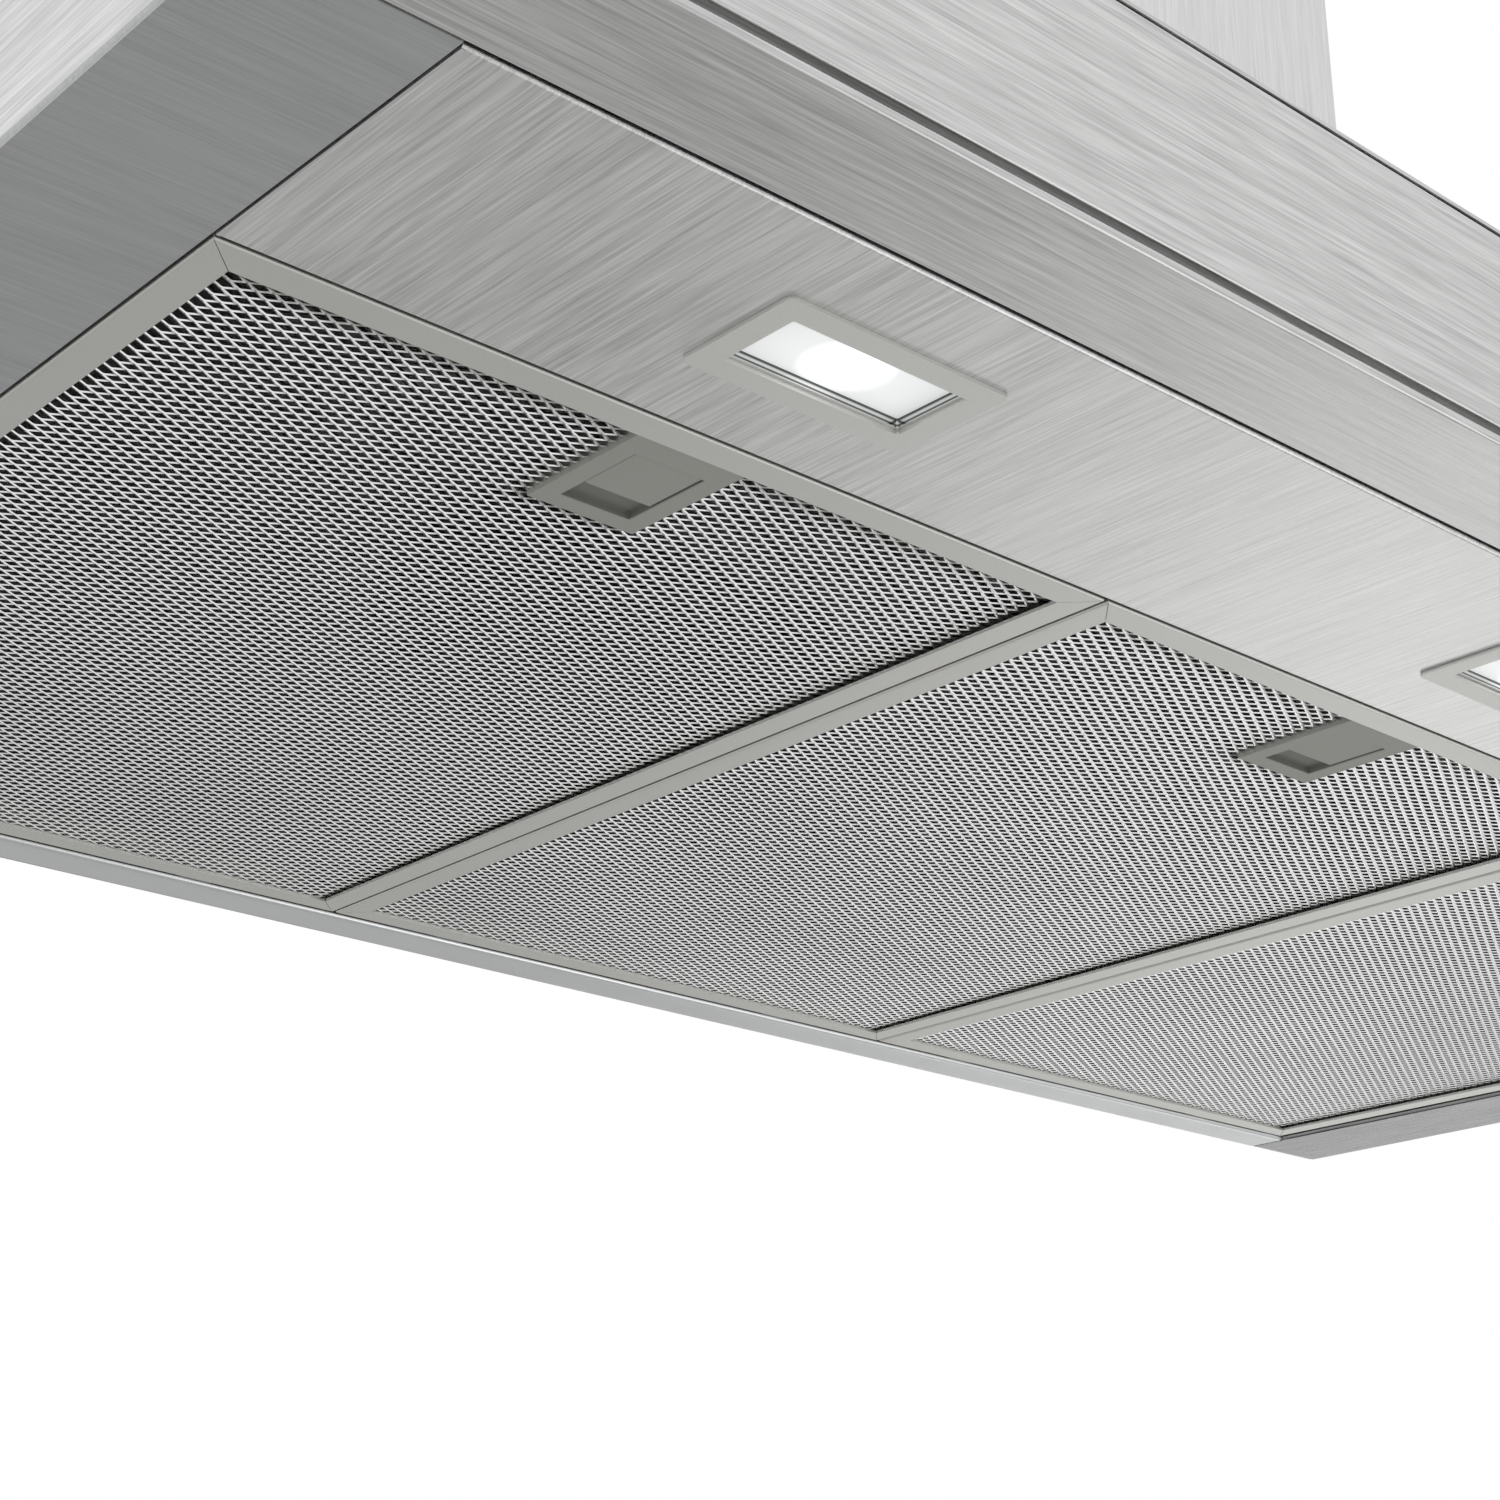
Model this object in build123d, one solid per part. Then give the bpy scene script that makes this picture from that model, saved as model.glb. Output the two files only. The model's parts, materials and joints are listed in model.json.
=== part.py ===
"""Wall-mounted chimney range hood with three hinged grease filters.

X runs along the wall, to the right for someone who faces it. Y points at the wall, whose face is Y = 0,
and Z points up. The origin is the centre of the four wall bolts.
"""
import os
from math import cos, degrees, hypot, radians, sin

from build123d import *

# Canopy
hood_width = 898.0
hood_depth = 500.0
rim_height = 60.0
canopy_height = 250.0
sheet = 1.0
bend = 1.3
tight_bend = 0.6
flange_width = 46.2
flange_upstand = 12.0
lip_depth = 33.6
shadow_joint = 2.4
front_recess = 3.5
canopy_top_margin = 2.0
air_opening_edge = 15.0
air_opening_side = 5.0
seat_gap = 0.3

# Wall bolts and their plates
bolt_height = 160.0
bolt_spacing_x = 260.0
bolt_spacing_z = 120.0
bolt_hole_radius = 4.25
wall_plate_width = 30.0
wall_plate_overhang = 15.0
wall_plate_thickness = 2.0

# Grease filters
filter_width = 265.4
filter_depth = 359.2
filter_height = 9.5
filter_rail = 9.0
filter_wall = 1.0
filter_gap = 0.8
filter_left_gap = 0.5
filter_rear = 22.1
filter_edge_radius = 0.7
mesh_recess = 1.3
mesh_thickness = 1.5
core_lift = 3.6
core_thickness = 1.2
mesh_pitch_x = 33.0
mesh_pitch_y = 17.6
mesh_strand = 3.0
core_strand = 4.5
hook_offset = 80.0
hook_width = 12.0
hook_thickness = 1.0
hook_clearance = 0.1
filter_names = ("left", "centre", "right")

# Rear strip that the filters hang on
strip_nose_radius = 1.8
strip_nose_y = -16.1
strip_upstand = 15.0
strip_return = 8.0

# Lamp strip and lamps
panel_gap = 0.8
panel_depth = 83.1
panel_upstand = 14.0
bezel_width = 65.6
bezel_depth = 35.4
bezel_corner = 2.0
bezel_rim = 1.0
bezel_sleeve_height = 12.0
bezel_sleeve_wall = 1.3
bezel_sleeve_clearance = 0.3
lamp_window = (52.0, 22.0)
window_corner = 0.5
trim_start = 0.2
trim_step = 0.9
trim_wall = 2.5
trim_ledge_top = 2.5
trim_height = 8.0
trim_clearance = 0.2
lens_thickness = 2.0
lens_clearance = 0.2
lens_overlap = 0.6
module_plate_height = 2.0
module_fin_height = 10.0
module_fin_width = 3.0
module_fin_depth = 20.0
module_fins = 7
diode_radius = 7.5

# Filter latches
latch_width = 32.5
latch_depth = 42.2
latch_face = 0.4
latch_top = 9.4
latch_tail = 7.7
latch_tail_bottom = 1.3
latch_tail_top = 8.2
recess_width = 21.0
recess_depth = 28.1
recess_front = 8.4
recess_height = 2.0
plate_width = 20.1
plate_depth = 19.4
plate_thickness = 1.4
plate_inset = 0.4
neck_width = 8.0
neck_depth = 4.0
neck_inset = 2.0
tongue_width = 12.0
tongue_thickness = 3.0
tongue_length = 30.0
tongue_bottom = 3.9
tongue_reach = 0.4
latch_clearance = 0.3
latch_travel = 7.5
spring_wire = 0.7
spring_diameter = 2.6
spring_length = 13.0
spring_turns = 7

# Front panel, push buttons and their switch block
button_height = 32.0
button_pitch = 24.0
button_radius = 7.0
button_clearance = 0.1
button_edge = 0.8
button_length = 15.0
button_proud = 3.0
button_collar_radius = 8.4
button_collar_thickness = 1.6
button_travel = 2.5
button_bezel_width = 132.0
button_bezel_height = 28.0
button_bezel_proud = 1.0
button_bezel_wall = 2.0
button_window_width = 118.0
button_window_height = 18.6
button_window_margin = 1.0
bezel_body_depth = 6.0
switch_block_width = 132.0
switch_block_height = 24.0
switch_block_depth = 13.0
switch_gap = 3.0
switch_leg = 5.0
button_names = ("light", "off", "low", "medium", "high")

# Blower
impeller_radius = 65.0
impeller_inner_radius = 54.0
impeller_half_width = 60.0
impeller_disc = 1.5
impeller_ring = 2.0
blade_count = 32
blade_thickness = 1.2
blade_angle = 35.0
blade_end_gap = 1.0
hub_radius = 12.0
hub_length = 20.0
hub_gap = 1.0
shaft_radius = 4.0
shaft_clearance = 0.05
scroll_start_radius = 74.0
scroll_end_radius = 108.0
scroll_start_angle = 59.0
scroll_sweep = 239.0
scroll_steps = 16
case_half_width = 75.0
case_wall = 1.5
case_y = -95.0
case_neck_height = 130.0
case_foot_height = 2.0
case_foot_half_depth = 52.0
case_foot_screw_inset = (12.0, 8.0)
inlet_radius = 52.0
inlet_ring_wall = 3.0
inlet_ring_length = 6.0
motor_radius = 42.0
motor_start = 6.0
motor_end = 82.0
motor_rim = 1.5
bracket_thickness = 2.0
bracket_inner_radius = 20.0
bracket_outer_radius = 34.0
bracket_arm_width = 12.0
bush_radius = 6.0
bush_ring_radius = 63.0
capacitor_radius = 14.0
capacitor_length = 52.0
capacitor_pad = 6.0
capacitor_drop = 15.0
capacitor_edge = 1.5

# Outlet collar and non-return flaps
collar_radius = 75.0
collar_wall = 1.5
collar_height = 60.0
collar_plate = 1.5
collar_plate_margin = 5.0
stop_ring_width = 3.5
stop_ring_thickness = 3.0
flap_radius = 72.5
flap_thickness = 1.2
flap_pin_radius = 2.0
flap_pin_clearance = 0.05
flap_hinge_offset = 4.0
flap_hinge_height = 22.0

# Electronics
box_width = 180.0
box_height = 60.0
box_depth = 40.0
box_wall = 2.0
box_bottom = -45.0
box_post_radius = 5.0
box_post_inset = 6.0
board_standoff = 9.0
board_standoff_radius = 3.0
board_size = (158.0, 34.0)
board_hole_inset = 8.0
board_thickness = 1.6
board_components = (
    (-48.0, (26.0, 24.0, 18.0)),
    (-16.0, (12.0, 20.0, 14.0)),
    (1.0, (12.0, 20.0, 14.0)),
    (18.0, (12.0, 20.0, 14.0)),
    (48.0, (30.0, 14.0, 11.0)),
)
gland_radius = 8.0
gland_flange_radius = 11.0
gland_bore = 3.6
gland_flange = 3.0
gland_nose = 12.0
gland_tail = 4.0

# Chimney
chimney_width = 300.0
chimney_depth = 270.0
lower_chimney_height = 360.0
upper_chimney_height = 360.0
upper_chimney_start = 25.0
chimney_clearance = 0.8
chimney_return = 15.0
vent_count = 9
vent_width = 110.0
vent_height = 4.0
vent_pitch = 10.0
vent_top_margin = 45.0
bracket_strip_height = 18.0
bracket_top_margin = 4.0
bracket_web_offset = 120.0
bracket_setback = 20.0
bracket_arm_depth = 40.0
bracket_screw_inset = 12.0
bracket_bolt_offset = 90.0
bracket_bolt_radius = 3.0
bracket_sheet = 1.5

# Screws
screw_radius = 1.9
screw_clearance = 0.1
screw_head_radius = 3.6
screw_head_height = 2.2
sheet_screw_length = 6.0
cover_screw_length = 12.0


def grown(size, margin):
    """Width and depth with a margin added all round."""
    return tuple(side + 2 * margin for side in size)


# Levels and edges that follow from the sizes above
underside = -bolt_height
rim_top = underside + rim_height
canopy_top = underside + canopy_height
half_width = hood_width / 2
opening_half = half_width - flange_width
lip_rear = -hood_depth + lip_depth
inner_wall_y = -hood_depth + front_recess
filter_front = -filter_rear - filter_depth
panel_rear = filter_front - panel_gap
panel_front = panel_rear - panel_depth
lamp_y = (panel_rear + panel_front) / 2
nose_z = underside + strip_nose_radius
mesh_bottom = underside + mesh_recess
core_bottom = underside + core_lift
inner_mesh_bottom = underside + filter_height - filter_wall - seat_gap - core_thickness
trim_window = grown(lamp_window, -trim_step)
trim_size = grown(trim_window, trim_wall)
sleeve_pocket = grown(trim_size, trim_clearance)
sleeve_size = grown(sleeve_pocket, bezel_sleeve_wall)
lens_size = grown(trim_window, lens_overlap)
button_z = underside + button_height
case_foot_z = canopy_top
case_z = case_foot_z + case_foot_height + scroll_start_radius + (
    scroll_end_radius - scroll_start_radius) * (scroll_start_angle + 90) / scroll_sweep
neck_top = case_z + case_neck_height
neck_front = case_y - scroll_end_radius
neck_rear = case_y + scroll_start_radius * cos(radians(scroll_start_angle))
collar_y = (neck_front + neck_rear) / 2
hub_start = motor_start - hub_gap - hub_length
upper_chimney_bottom = canopy_top + upper_chimney_start
upper_chimney_top = upper_chimney_bottom + upper_chimney_height
upper_half = chimney_width / 2 - sheet - chimney_clearance
upper_front = -chimney_depth + sheet + chimney_clearance
upper_rear = -sheet - chimney_clearance
chimney_screw_z = upper_chimney_top - bracket_top_margin - bracket_strip_height / 2


def block(x, y, z):
    """Box between the low and the high value of each axis."""
    spans = (x, y, z)
    middle = [(low + high) / 2 for low, high in spans]
    return Pos(*middle) * Box(*[high - low for low, high in spans])


def band(centre, width):
    """Low and high value of a width about its centre."""
    return (centre - width / 2, centre + width / 2)


def mirrored(span, side):
    """A span on the right-hand side, or its mirror image for side -1."""
    return tuple(sorted(side * value for value in span))


def rod(start, direction, radius, length):
    """Cylinder that starts at a point and runs along a direction."""
    base = (Align.CENTER, Align.CENTER, Align.MIN)
    return Plane(origin=start, z_dir=direction) * Cylinder(radius, length, align=base)


def ring(start, direction, radius, bore, length):
    """Tube that starts at a point and runs along a direction."""
    back = Vector(*start) - Vector(*direction)
    return rod(start, direction, radius, length) - rod(back, direction, bore, length + 2)


def folded_across(points, bends, x):
    """Sheet folded along a middle line of (Y, Z) points, running along X."""
    profile = trace(FilletPolyline(*points, radius=bends), line_width=sheet)
    plane = Plane(origin=(x[0], 0, 0), x_dir=(0, 1, 0), z_dir=(1, 0, 0))
    return extrude(plane * profile, amount=x[1] - x[0])


def folded_along(points, bends, y):
    """Sheet folded along a middle line of (X, Z) points, running along Y."""
    profile = trace(FilletPolyline(*points, radius=bends), line_width=sheet)
    plane = Plane(origin=(0, y[1], 0), x_dir=(1, 0, 0), z_dir=(0, -1, 0))
    return extrude(plane * profile, amount=y[1] - y[0])


def rounded_block(width, depth, corner, centre, z):
    """Upright block with rounded corners about a centre (X, Y)."""
    low, high = z
    outline = RectangleRounded(width, depth, corner)
    return Pos(centre[0], centre[1], low) * extrude(outline, amount=high - low)


def screw(head, direction, length):
    """Pan-head screw whose head sits on a face at a point and whose shank runs along a direction."""
    back = Vector(*head) - Vector(*direction) * screw_head_height
    shank = rod(head, direction, screw_radius, length)
    return shank + rod(back, direction, screw_head_radius, screw_head_height)


def screw_hole(head, direction, length):
    """Clearance hole for a screw."""
    back = Vector(*head) - Vector(*direction)
    return rod(back, direction, screw_radius + screw_clearance, length + 1)


def filter_x(index):
    """Middle of a filter along X."""
    first = -opening_half + filter_left_gap + filter_width / 2
    return first + index * (filter_width + filter_gap)


def button_x(index):
    """Middle of a push button along X."""
    return (index - (len(button_names) - 1) / 2) * button_pitch


def slope_run(rise, run):
    """Level thickness of a sloping sheet."""
    return sheet * hypot(rise, run) / rise


def pyramid(side_inset, front_inset, rear_inset):
    """Solid between the rim and the canopy's top, taken in by its sheet."""
    top_half = chimney_width / 2 + canopy_top_margin
    top_front = -chimney_depth - canopy_top_margin
    faces = []
    for half, front, z in ((half_width, -hood_depth, rim_top), (top_half, top_front, canopy_top)):
        width = 2 * (half - side_inset)
        y = (front + front_inset, -rear_inset)
        faces.append(Pos(0, sum(y) / 2, z) * Rectangle(width, y[1] - y[0]))
    return loft([Sketch() + face for face in faces], ruled=True)


def wall_bolt_points():
    """Places of the four wall bolts on the wall's face."""
    return [(x, 0, z) for x in band(0, bolt_spacing_x) for z in band(0, bolt_spacing_z)]


def panel_screw_points():
    """Places and directions of the screws at the ends of the lamp strip."""
    end = opening_half - seat_gap - sheet
    places = [panel_rear - panel_depth * share for share in (0.25, 0.75)]
    z = underside + panel_upstand / 2
    return [((side * end, y, z), (side, 0, 0)) for side in (-1, 1) for y in places]


def foot_screw_points():
    """Places of the screws that hold the blower's feet on the canopy's top."""
    x = case_half_width - case_foot_screw_inset[0]
    y = case_foot_half_depth - case_foot_screw_inset[1]
    top = case_foot_z + case_foot_height
    return [(i * x, case_y + j * y, top) for i in (-1, 1) for j in (-1, 1)]


def canopy_shell():
    """Sloping front and sides above the rim, with the plate that carries the blower."""
    rise = canopy_height - rim_height
    side_run = half_width - chimney_width / 2 - canopy_top_margin
    front_run = hood_depth - chimney_depth - canopy_top_margin
    shell = pyramid(0, 0, sheet) - pyramid(slope_run(rise, side_run), slope_run(rise, front_run), -sheet)
    top_x = chimney_width / 2 + canopy_top_margin - sheet
    plate = block((-top_x, top_x), (-chimney_depth, -sheet), (canopy_top - sheet, canopy_top))
    opening_y = (-chimney_depth + air_opening_edge, -air_opening_edge)
    opening_x = (case_half_width + air_opening_side, chimney_width / 2 - air_opening_edge)
    for side in (-1, 1):
        plate -= block(mirrored(opening_x, side), opening_y, band(canopy_top, 4 * sheet))
    shell += plate
    for point in foot_screw_points():
        shell -= screw_hole(point, (0, 0, -1), case_foot_height + 2 * sheet)
    return shell


def rim_side(side):
    """Side sheet of the rim with its flange, which ends behind the front lip."""
    middle = underside + sheet / 2
    outer = half_width - sheet / 2
    inner = opening_half + sheet / 2
    upstand = underside + flange_upstand
    cheek = folded_along([(side * inner, middle), (side * outer, middle), (side * outer, rim_top)], bend,
                         (-hood_depth, -sheet))
    cheek += folded_along([(side * inner, upstand), (side * inner, middle), (side * outer, middle)], bend,
                          (lip_rear, -sheet))
    cheek -= block(mirrored((0, outer - bend), side), (-hood_depth - 1, lip_rear), band(underside, 4 * sheet))
    for point, direction in panel_screw_points():
        cheek -= screw_hole(point, direction, 3 * sheet)
    return cheek


def rim_front():
    """Front sheet of the rim: the lip and, above its shadow joint, the wall behind the front panel."""
    middle = underside + sheet / 2
    outer = half_width - sheet / 2
    curl = underside + shadow_joint - sheet / 2
    wall = inner_wall_y + sheet / 2
    front = -hood_depth + sheet / 2
    points = [(lip_rear - sheet / 2, underside + flange_upstand), (lip_rear - sheet / 2, middle)]
    points += [(front, middle), (front, curl), (wall, curl), (wall, rim_top)]
    lip = folded_across(points, tight_bend, (bend - outer, outer - bend))
    lip += block((-outer, outer), (inner_wall_y, inner_wall_y + sheet), (underside + shadow_joint, rim_top))
    lip += block((-outer, outer), (-hood_depth, inner_wall_y + sheet), (rim_top - sheet, rim_top))
    return lip - block(band(0, button_window_width + 2 * button_window_margin), band(wall, 4 * sheet),
                       band(button_z, button_window_height + 2 * button_window_margin))


def canopy_rim():
    """Folded rim of three sheets that meet face to face: two sides and the front."""
    sides = [rim_side(side) for side in (-1, 1)]
    return Compound(children=[rim_front() - sides, *sides])


def rear_wall():
    """Flat rear sheet behind the rim and the slopes, with the holes of the wall bolts."""
    top_half = chimney_width / 2 + canopy_top_margin
    right = [(half_width, underside), (half_width, rim_top), (top_half, canopy_top)]
    left = [(-x, z) for x, z in reversed(right)]
    outline = Plane.XZ * make_face(Polyline(*right, *left, close=True))
    wall = extrude(outline, amount=sheet)
    corners = wall.edges().filter_by(Axis.Y).group_by(Axis.Z)[0]
    wall = fillet(corners, bend + sheet / 2)
    for point in wall_bolt_points():
        wall -= rod((point[0], 1, point[2]), (0, -1, 0), bolt_hole_radius, sheet + 2)
    return wall


def wall_plates():
    """Two upright plates that stiffen the rear wall at the bolt holes."""
    group = Part()
    for x in band(0, bolt_spacing_x):
        height = bolt_spacing_z + 2 * wall_plate_overhang
        plate = block(band(x, wall_plate_width), (-sheet - wall_plate_thickness, -sheet), band(0, height))
        for z in band(0, bolt_spacing_z):
            plate -= rod((x, 0, z), (0, -1, 0), bolt_hole_radius, wall_plate_thickness + 2 * sheet)
        group += plate
    return group


def front_panel():
    """Folded front face of the rim, above the shadow joint."""
    bottom = underside + 2 * shadow_joint
    top = rim_top - sheet - seat_gap
    rear = inner_wall_y - seat_gap
    front = -hood_depth + sheet / 2
    low, high = bottom + sheet / 2, top - sheet / 2
    half = half_width - sheet - seat_gap
    panel = folded_across([(rear, low), (front, low), (front, high), (rear, high)], tight_bend, (-half, half))
    window_y = (-hood_depth - 1, rear + 1)
    return panel - block(band(0, button_window_width), window_y, band(button_z, button_window_height))


def rear_strip():
    """Strip at the wall with a rolled front edge, on which the filters hang and turn."""
    half = opening_half - seat_gap
    x = (-half, half)
    strip = block(x, (strip_nose_y, -sheet), (underside, underside + sheet))
    strip += block(x, (-2 * sheet, -sheet), (underside, underside + strip_upstand))
    nose_top = underside + 2 * strip_nose_radius
    strip += block(x, (strip_nose_y, strip_nose_y + strip_return), (nose_top - sheet, nose_top))
    return strip + rod((-half, strip_nose_y, nose_z), (1, 0, 0), strip_nose_radius, 2 * half)


def lamp_panel():
    """Strip between the filters and the front lip, which holds the lamps."""
    rear = panel_rear - sheet / 2
    front = panel_front + sheet / 2
    top = underside + panel_upstand
    middle = underside + sheet / 2
    half = opening_half - seat_gap
    points = [(rear, top), (rear, middle), (front, middle), (front, top)]
    panel = folded_across(points, tight_bend, (-half, half))
    for side in (-1, 1):
        panel += block(mirrored((half - sheet, half), side), (front, rear), (underside, top))
    hole = grown(sleeve_size, bezel_sleeve_clearance)
    for index in range(len(filter_names)):
        panel -= block(band(filter_x(index), hole[0]), band(lamp_y, hole[1]), band(underside, 4 * sheet))
    for point, direction in panel_screw_points():
        panel -= screw_hole(point, direction, 2 * sheet)
    return panel


def lamp_block(index, size, z):
    """Upright block of a lamp."""
    return block(band(filter_x(index), size[0]), band(lamp_y, size[1]), z)


def lamp_rounded(index, size, corner, z):
    """Upright block of a lamp, with rounded corners."""
    return rounded_block(*size, corner, (filter_x(index), lamp_y), z)


def lamp_bezel(index):
    """Grey frame of one lamp, with the sleeve that goes up through the lamp strip."""
    bezel = lamp_rounded(index, (bezel_width, bezel_depth), bezel_corner, (underside - bezel_rim, underside))
    top = underside + bezel_sleeve_height
    bezel += lamp_block(index, sleeve_size, (underside - bezel_rim / 2, top))
    bezel -= lamp_block(index, sleeve_pocket, (underside + trim_start, top + 1))
    return bezel - lamp_rounded(index, lamp_window, window_corner, (underside - 2 * bezel_rim, top))


def lamp_trims():
    """Bright stepped frames inside the three lamp bezels."""
    group = Part()
    start = underside + trim_start
    top = underside + trim_height
    pocket = grown(lens_size, lens_clearance)
    for index in range(len(filter_names)):
        trim = lamp_block(index, trim_size, (start, top))
        trim -= lamp_rounded(index, trim_window, window_corner, (start - 1, top))
        trim -= lamp_block(index, pocket, (underside + trim_ledge_top, top + 1))
        group += trim
    return group


def lamp_lens(index):
    """Frosted lens of one lamp, which lies on the trim's ledge."""
    z = (underside + trim_ledge_top, underside + trim_ledge_top + lens_thickness)
    return lamp_rounded(index, lens_size, window_corner, z)


def lamp_modules():
    """Light modules that stand on the trims, each with its diode below and fins above."""
    group = Part()
    plate = (underside + trim_height, underside + trim_height + module_plate_height)
    diode_start = underside + trim_ledge_top + lens_thickness + seat_gap
    pitch = (trim_size[0] - module_fin_width) / (module_fins - 1)
    for index in range(len(filter_names)):
        x = filter_x(index)
        module = lamp_block(index, trim_size, plate)
        module += rod((x, lamp_y, diode_start), (0, 0, 1), diode_radius, plate[0] - diode_start)
        for fin in range(module_fins):
            middle = x + (fin - (module_fins - 1) / 2) * pitch
            module += block(band(middle, module_fin_width), band(lamp_y, module_fin_depth),
                            (plate[0] + module_plate_height / 2, plate[1] + module_fin_height))
        group += module
    return group


def filter_frame(index):
    """Channel frame of one filter, with the two hooks that turn on the rear strip's rolled edge."""
    x = filter_x(index)
    y = (filter_front, -filter_rear)
    middle_y = sum(y) / 2
    top = underside + filter_height
    frame = block(band(x, filter_width), y, (underside, top))
    lower = frame.faces().sort_by(Axis.Z)[0].edges()
    frame = fillet(lower, filter_edge_radius)
    inside = (filter_width - 2 * filter_wall, filter_depth - 2 * filter_wall)
    inside_z = (underside + filter_wall, top - filter_wall)
    frame -= block(band(x, inside[0]), band(middle_y, inside[1]), inside_z)
    window = (filter_width - 2 * filter_rail, filter_depth - 2 * filter_rail)
    frame -= block(band(x, window[0]), band(middle_y, window[1]), (underside - 1, top + 1))
    tongue_z = (underside + tongue_bottom - latch_clearance,
                underside + tongue_bottom + tongue_thickness + latch_clearance)
    slot_width = tongue_width + 2 * latch_clearance
    frame -= block(band(x, slot_width), band(filter_front, 4 * filter_wall), tongue_z)
    for side in (-1, 1):
        frame += filter_hook(x + side * hook_offset)
    return frame


def filter_hook(x):
    """Quarter ring over the rolled edge, joined to the frame's rear wall."""
    inner = strip_nose_radius + hook_clearance
    outer = inner + hook_thickness
    start = (x - hook_width / 2, strip_nose_y, nose_z)
    hook = ring(start, (1, 0, 0), outer, inner, hook_width)
    keep = block(band(x, hook_width), (strip_nose_y - outer - 1, strip_nose_y), (nose_z, nose_z + outer + 1))
    arm_y = (-filter_rear - filter_wall / 2, strip_nose_y - inner - hook_thickness / 2)
    arm = block(band(x, hook_width), arm_y, (nose_z + 0.2, nose_z + outer))
    return (hook & keep) + (arm - rod(start, (1, 0, 0), outer - hook_thickness / 2, hook_width))


def mesh_sheet(index, bottom, thickness, pitch, strand):
    """Flat net of one filter: one holed face with staggered diamond gaps and a notch for the latch."""
    x = filter_x(index)
    edge = filter_wall + seat_gap
    left, right = x - filter_width / 2 + edge, x + filter_width / 2 - edge
    front, rear = filter_front + edge, -filter_rear - edge
    notch_half = latch_width / 2 + seat_gap
    notch_rear = filter_front + filter_rail + latch_depth + seat_gap
    notch = [(x - notch_half, front), (x - notch_half, notch_rear), (x + notch_half, notch_rear),
             (x + notch_half, front)]
    outline = [(left, front), *notch, (right, front), (right, rear), (left, rear)]
    share = 1 - strand * hypot(*pitch) / (pitch[0] * pitch[1])
    half = (pitch[0] / 2 * share, pitch[1] / 2 * share)
    margin = filter_rail - edge
    columns = int((right - left - 2 * margin) / pitch[0] * 2) - 1
    rows = int((rear - front - 2 * margin) / pitch[1] * 2) - 1
    middle_y = (front + rear) / 2
    gaps = []
    for row in range(rows):
        for column in range(row % 2, columns, 2):
            u = x + (column - (columns - 1) / 2) * pitch[0] / 2
            v = middle_y + (row - (rows - 1) / 2) * pitch[1] / 2
            beside_notch = abs(u - x) > notch_half + half[0] + strand / 2
            if beside_notch or v > notch_rear + half[1] + strand / 2:
                corners = [(u - half[0], v), (u, v - half[1]), (u + half[0], v), (u, v + half[1])]
                gaps.append(Wire.make_polygon(corners))
    face = Face(Wire.make_polygon(outline), gaps)
    return Pos(0, 0, bottom) * extrude(face, amount=thickness, dir=(0, 0, 1))


def filter_mesh(index):
    """Outer mesh of one filter, which shows from below."""
    return mesh_sheet(index, mesh_bottom, mesh_thickness, (mesh_pitch_x, mesh_pitch_y), mesh_strand)


def filter_core(index):
    """Two meshes behind the outer one, laid crosswise and along."""
    crosswise = mesh_sheet(index, core_bottom, core_thickness, (mesh_pitch_y, mesh_pitch_x), core_strand)
    inner = mesh_sheet(index, inner_mesh_bottom, core_thickness, (mesh_pitch_x, mesh_pitch_y), mesh_strand)
    return Part() + [crosswise, inner]


def latch_levels():
    """Front end, recess and channel edges of a latch, which all filters share."""
    front = filter_front + filter_rail + seat_gap
    recess_y = (front - seat_gap + recess_front + recess_depth, front - seat_gap + recess_front)
    plate_front = recess_y[1] + latch_clearance
    return front, (recess_y[1], recess_y[0]), plate_front


def latch_housing(index):
    """Plastic housing in a filter's front rail, with the finger recess and the tongue's channel."""
    x = filter_x(index)
    front, recess_y, plate_front = latch_levels()
    rear = filter_front + filter_rail + latch_depth
    housing = block(band(x, latch_width), (front, rear), (underside + latch_face, underside + latch_top))
    tail_front = filter_front + filter_wall + seat_gap
    housing += block(band(x, latch_width), (tail_front, front + 1),
                     (underside + latch_tail_bottom, underside + latch_tail_top))
    ceiling = underside + latch_face + recess_height
    housing -= block(band(x, recess_width), recess_y, (underside, ceiling))
    channel_z = (underside + tongue_bottom - latch_clearance,
                 underside + tongue_bottom + tongue_thickness + latch_clearance)
    channel_rear = tongue_rear() + spring_length
    housing -= block(band(x, tongue_width + 2 * latch_clearance), (tail_front - 1, channel_rear), channel_z)
    neck_y = neck_span()
    slot_y = (neck_y[0] - latch_clearance, neck_y[1] + latch_travel + latch_clearance)
    housing -= block(band(x, neck_width + 2 * latch_clearance), slot_y, (ceiling - 0.5, channel_z[0] + 0.5))
    return housing


def tongue_rear():
    """Rear end of a latch tongue at rest."""
    return filter_front - tongue_reach + tongue_length


def neck_span():
    """Front and rear of the neck that joins a latch's plate to its tongue."""
    plate_front = latch_levels()[2]
    return (plate_front + neck_inset, plate_front + neck_inset + neck_depth)


def latch_slider(index):
    """Finger plate, neck and tongue of one latch, in one piece."""
    x = filter_x(index)
    plate_front = latch_levels()[2]
    plate_bottom = underside + latch_face + plate_inset
    slider = block(band(x, plate_width), (plate_front, plate_front + plate_depth),
                   (plate_bottom, plate_bottom + plate_thickness))
    tongue_z = (underside + tongue_bottom, underside + tongue_bottom + tongue_thickness)
    slider += block(band(x, neck_width), neck_span(), (plate_bottom + plate_thickness / 2, tongue_z[0] + 1))
    return slider + block(band(x, tongue_width), (filter_front - tongue_reach, tongue_rear()), tongue_z)


def spring_path():
    """Middle line of a latch spring."""
    length = spring_length - spring_wire
    return Helix(length / spring_turns, length, (spring_diameter - spring_wire) / 2)


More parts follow.
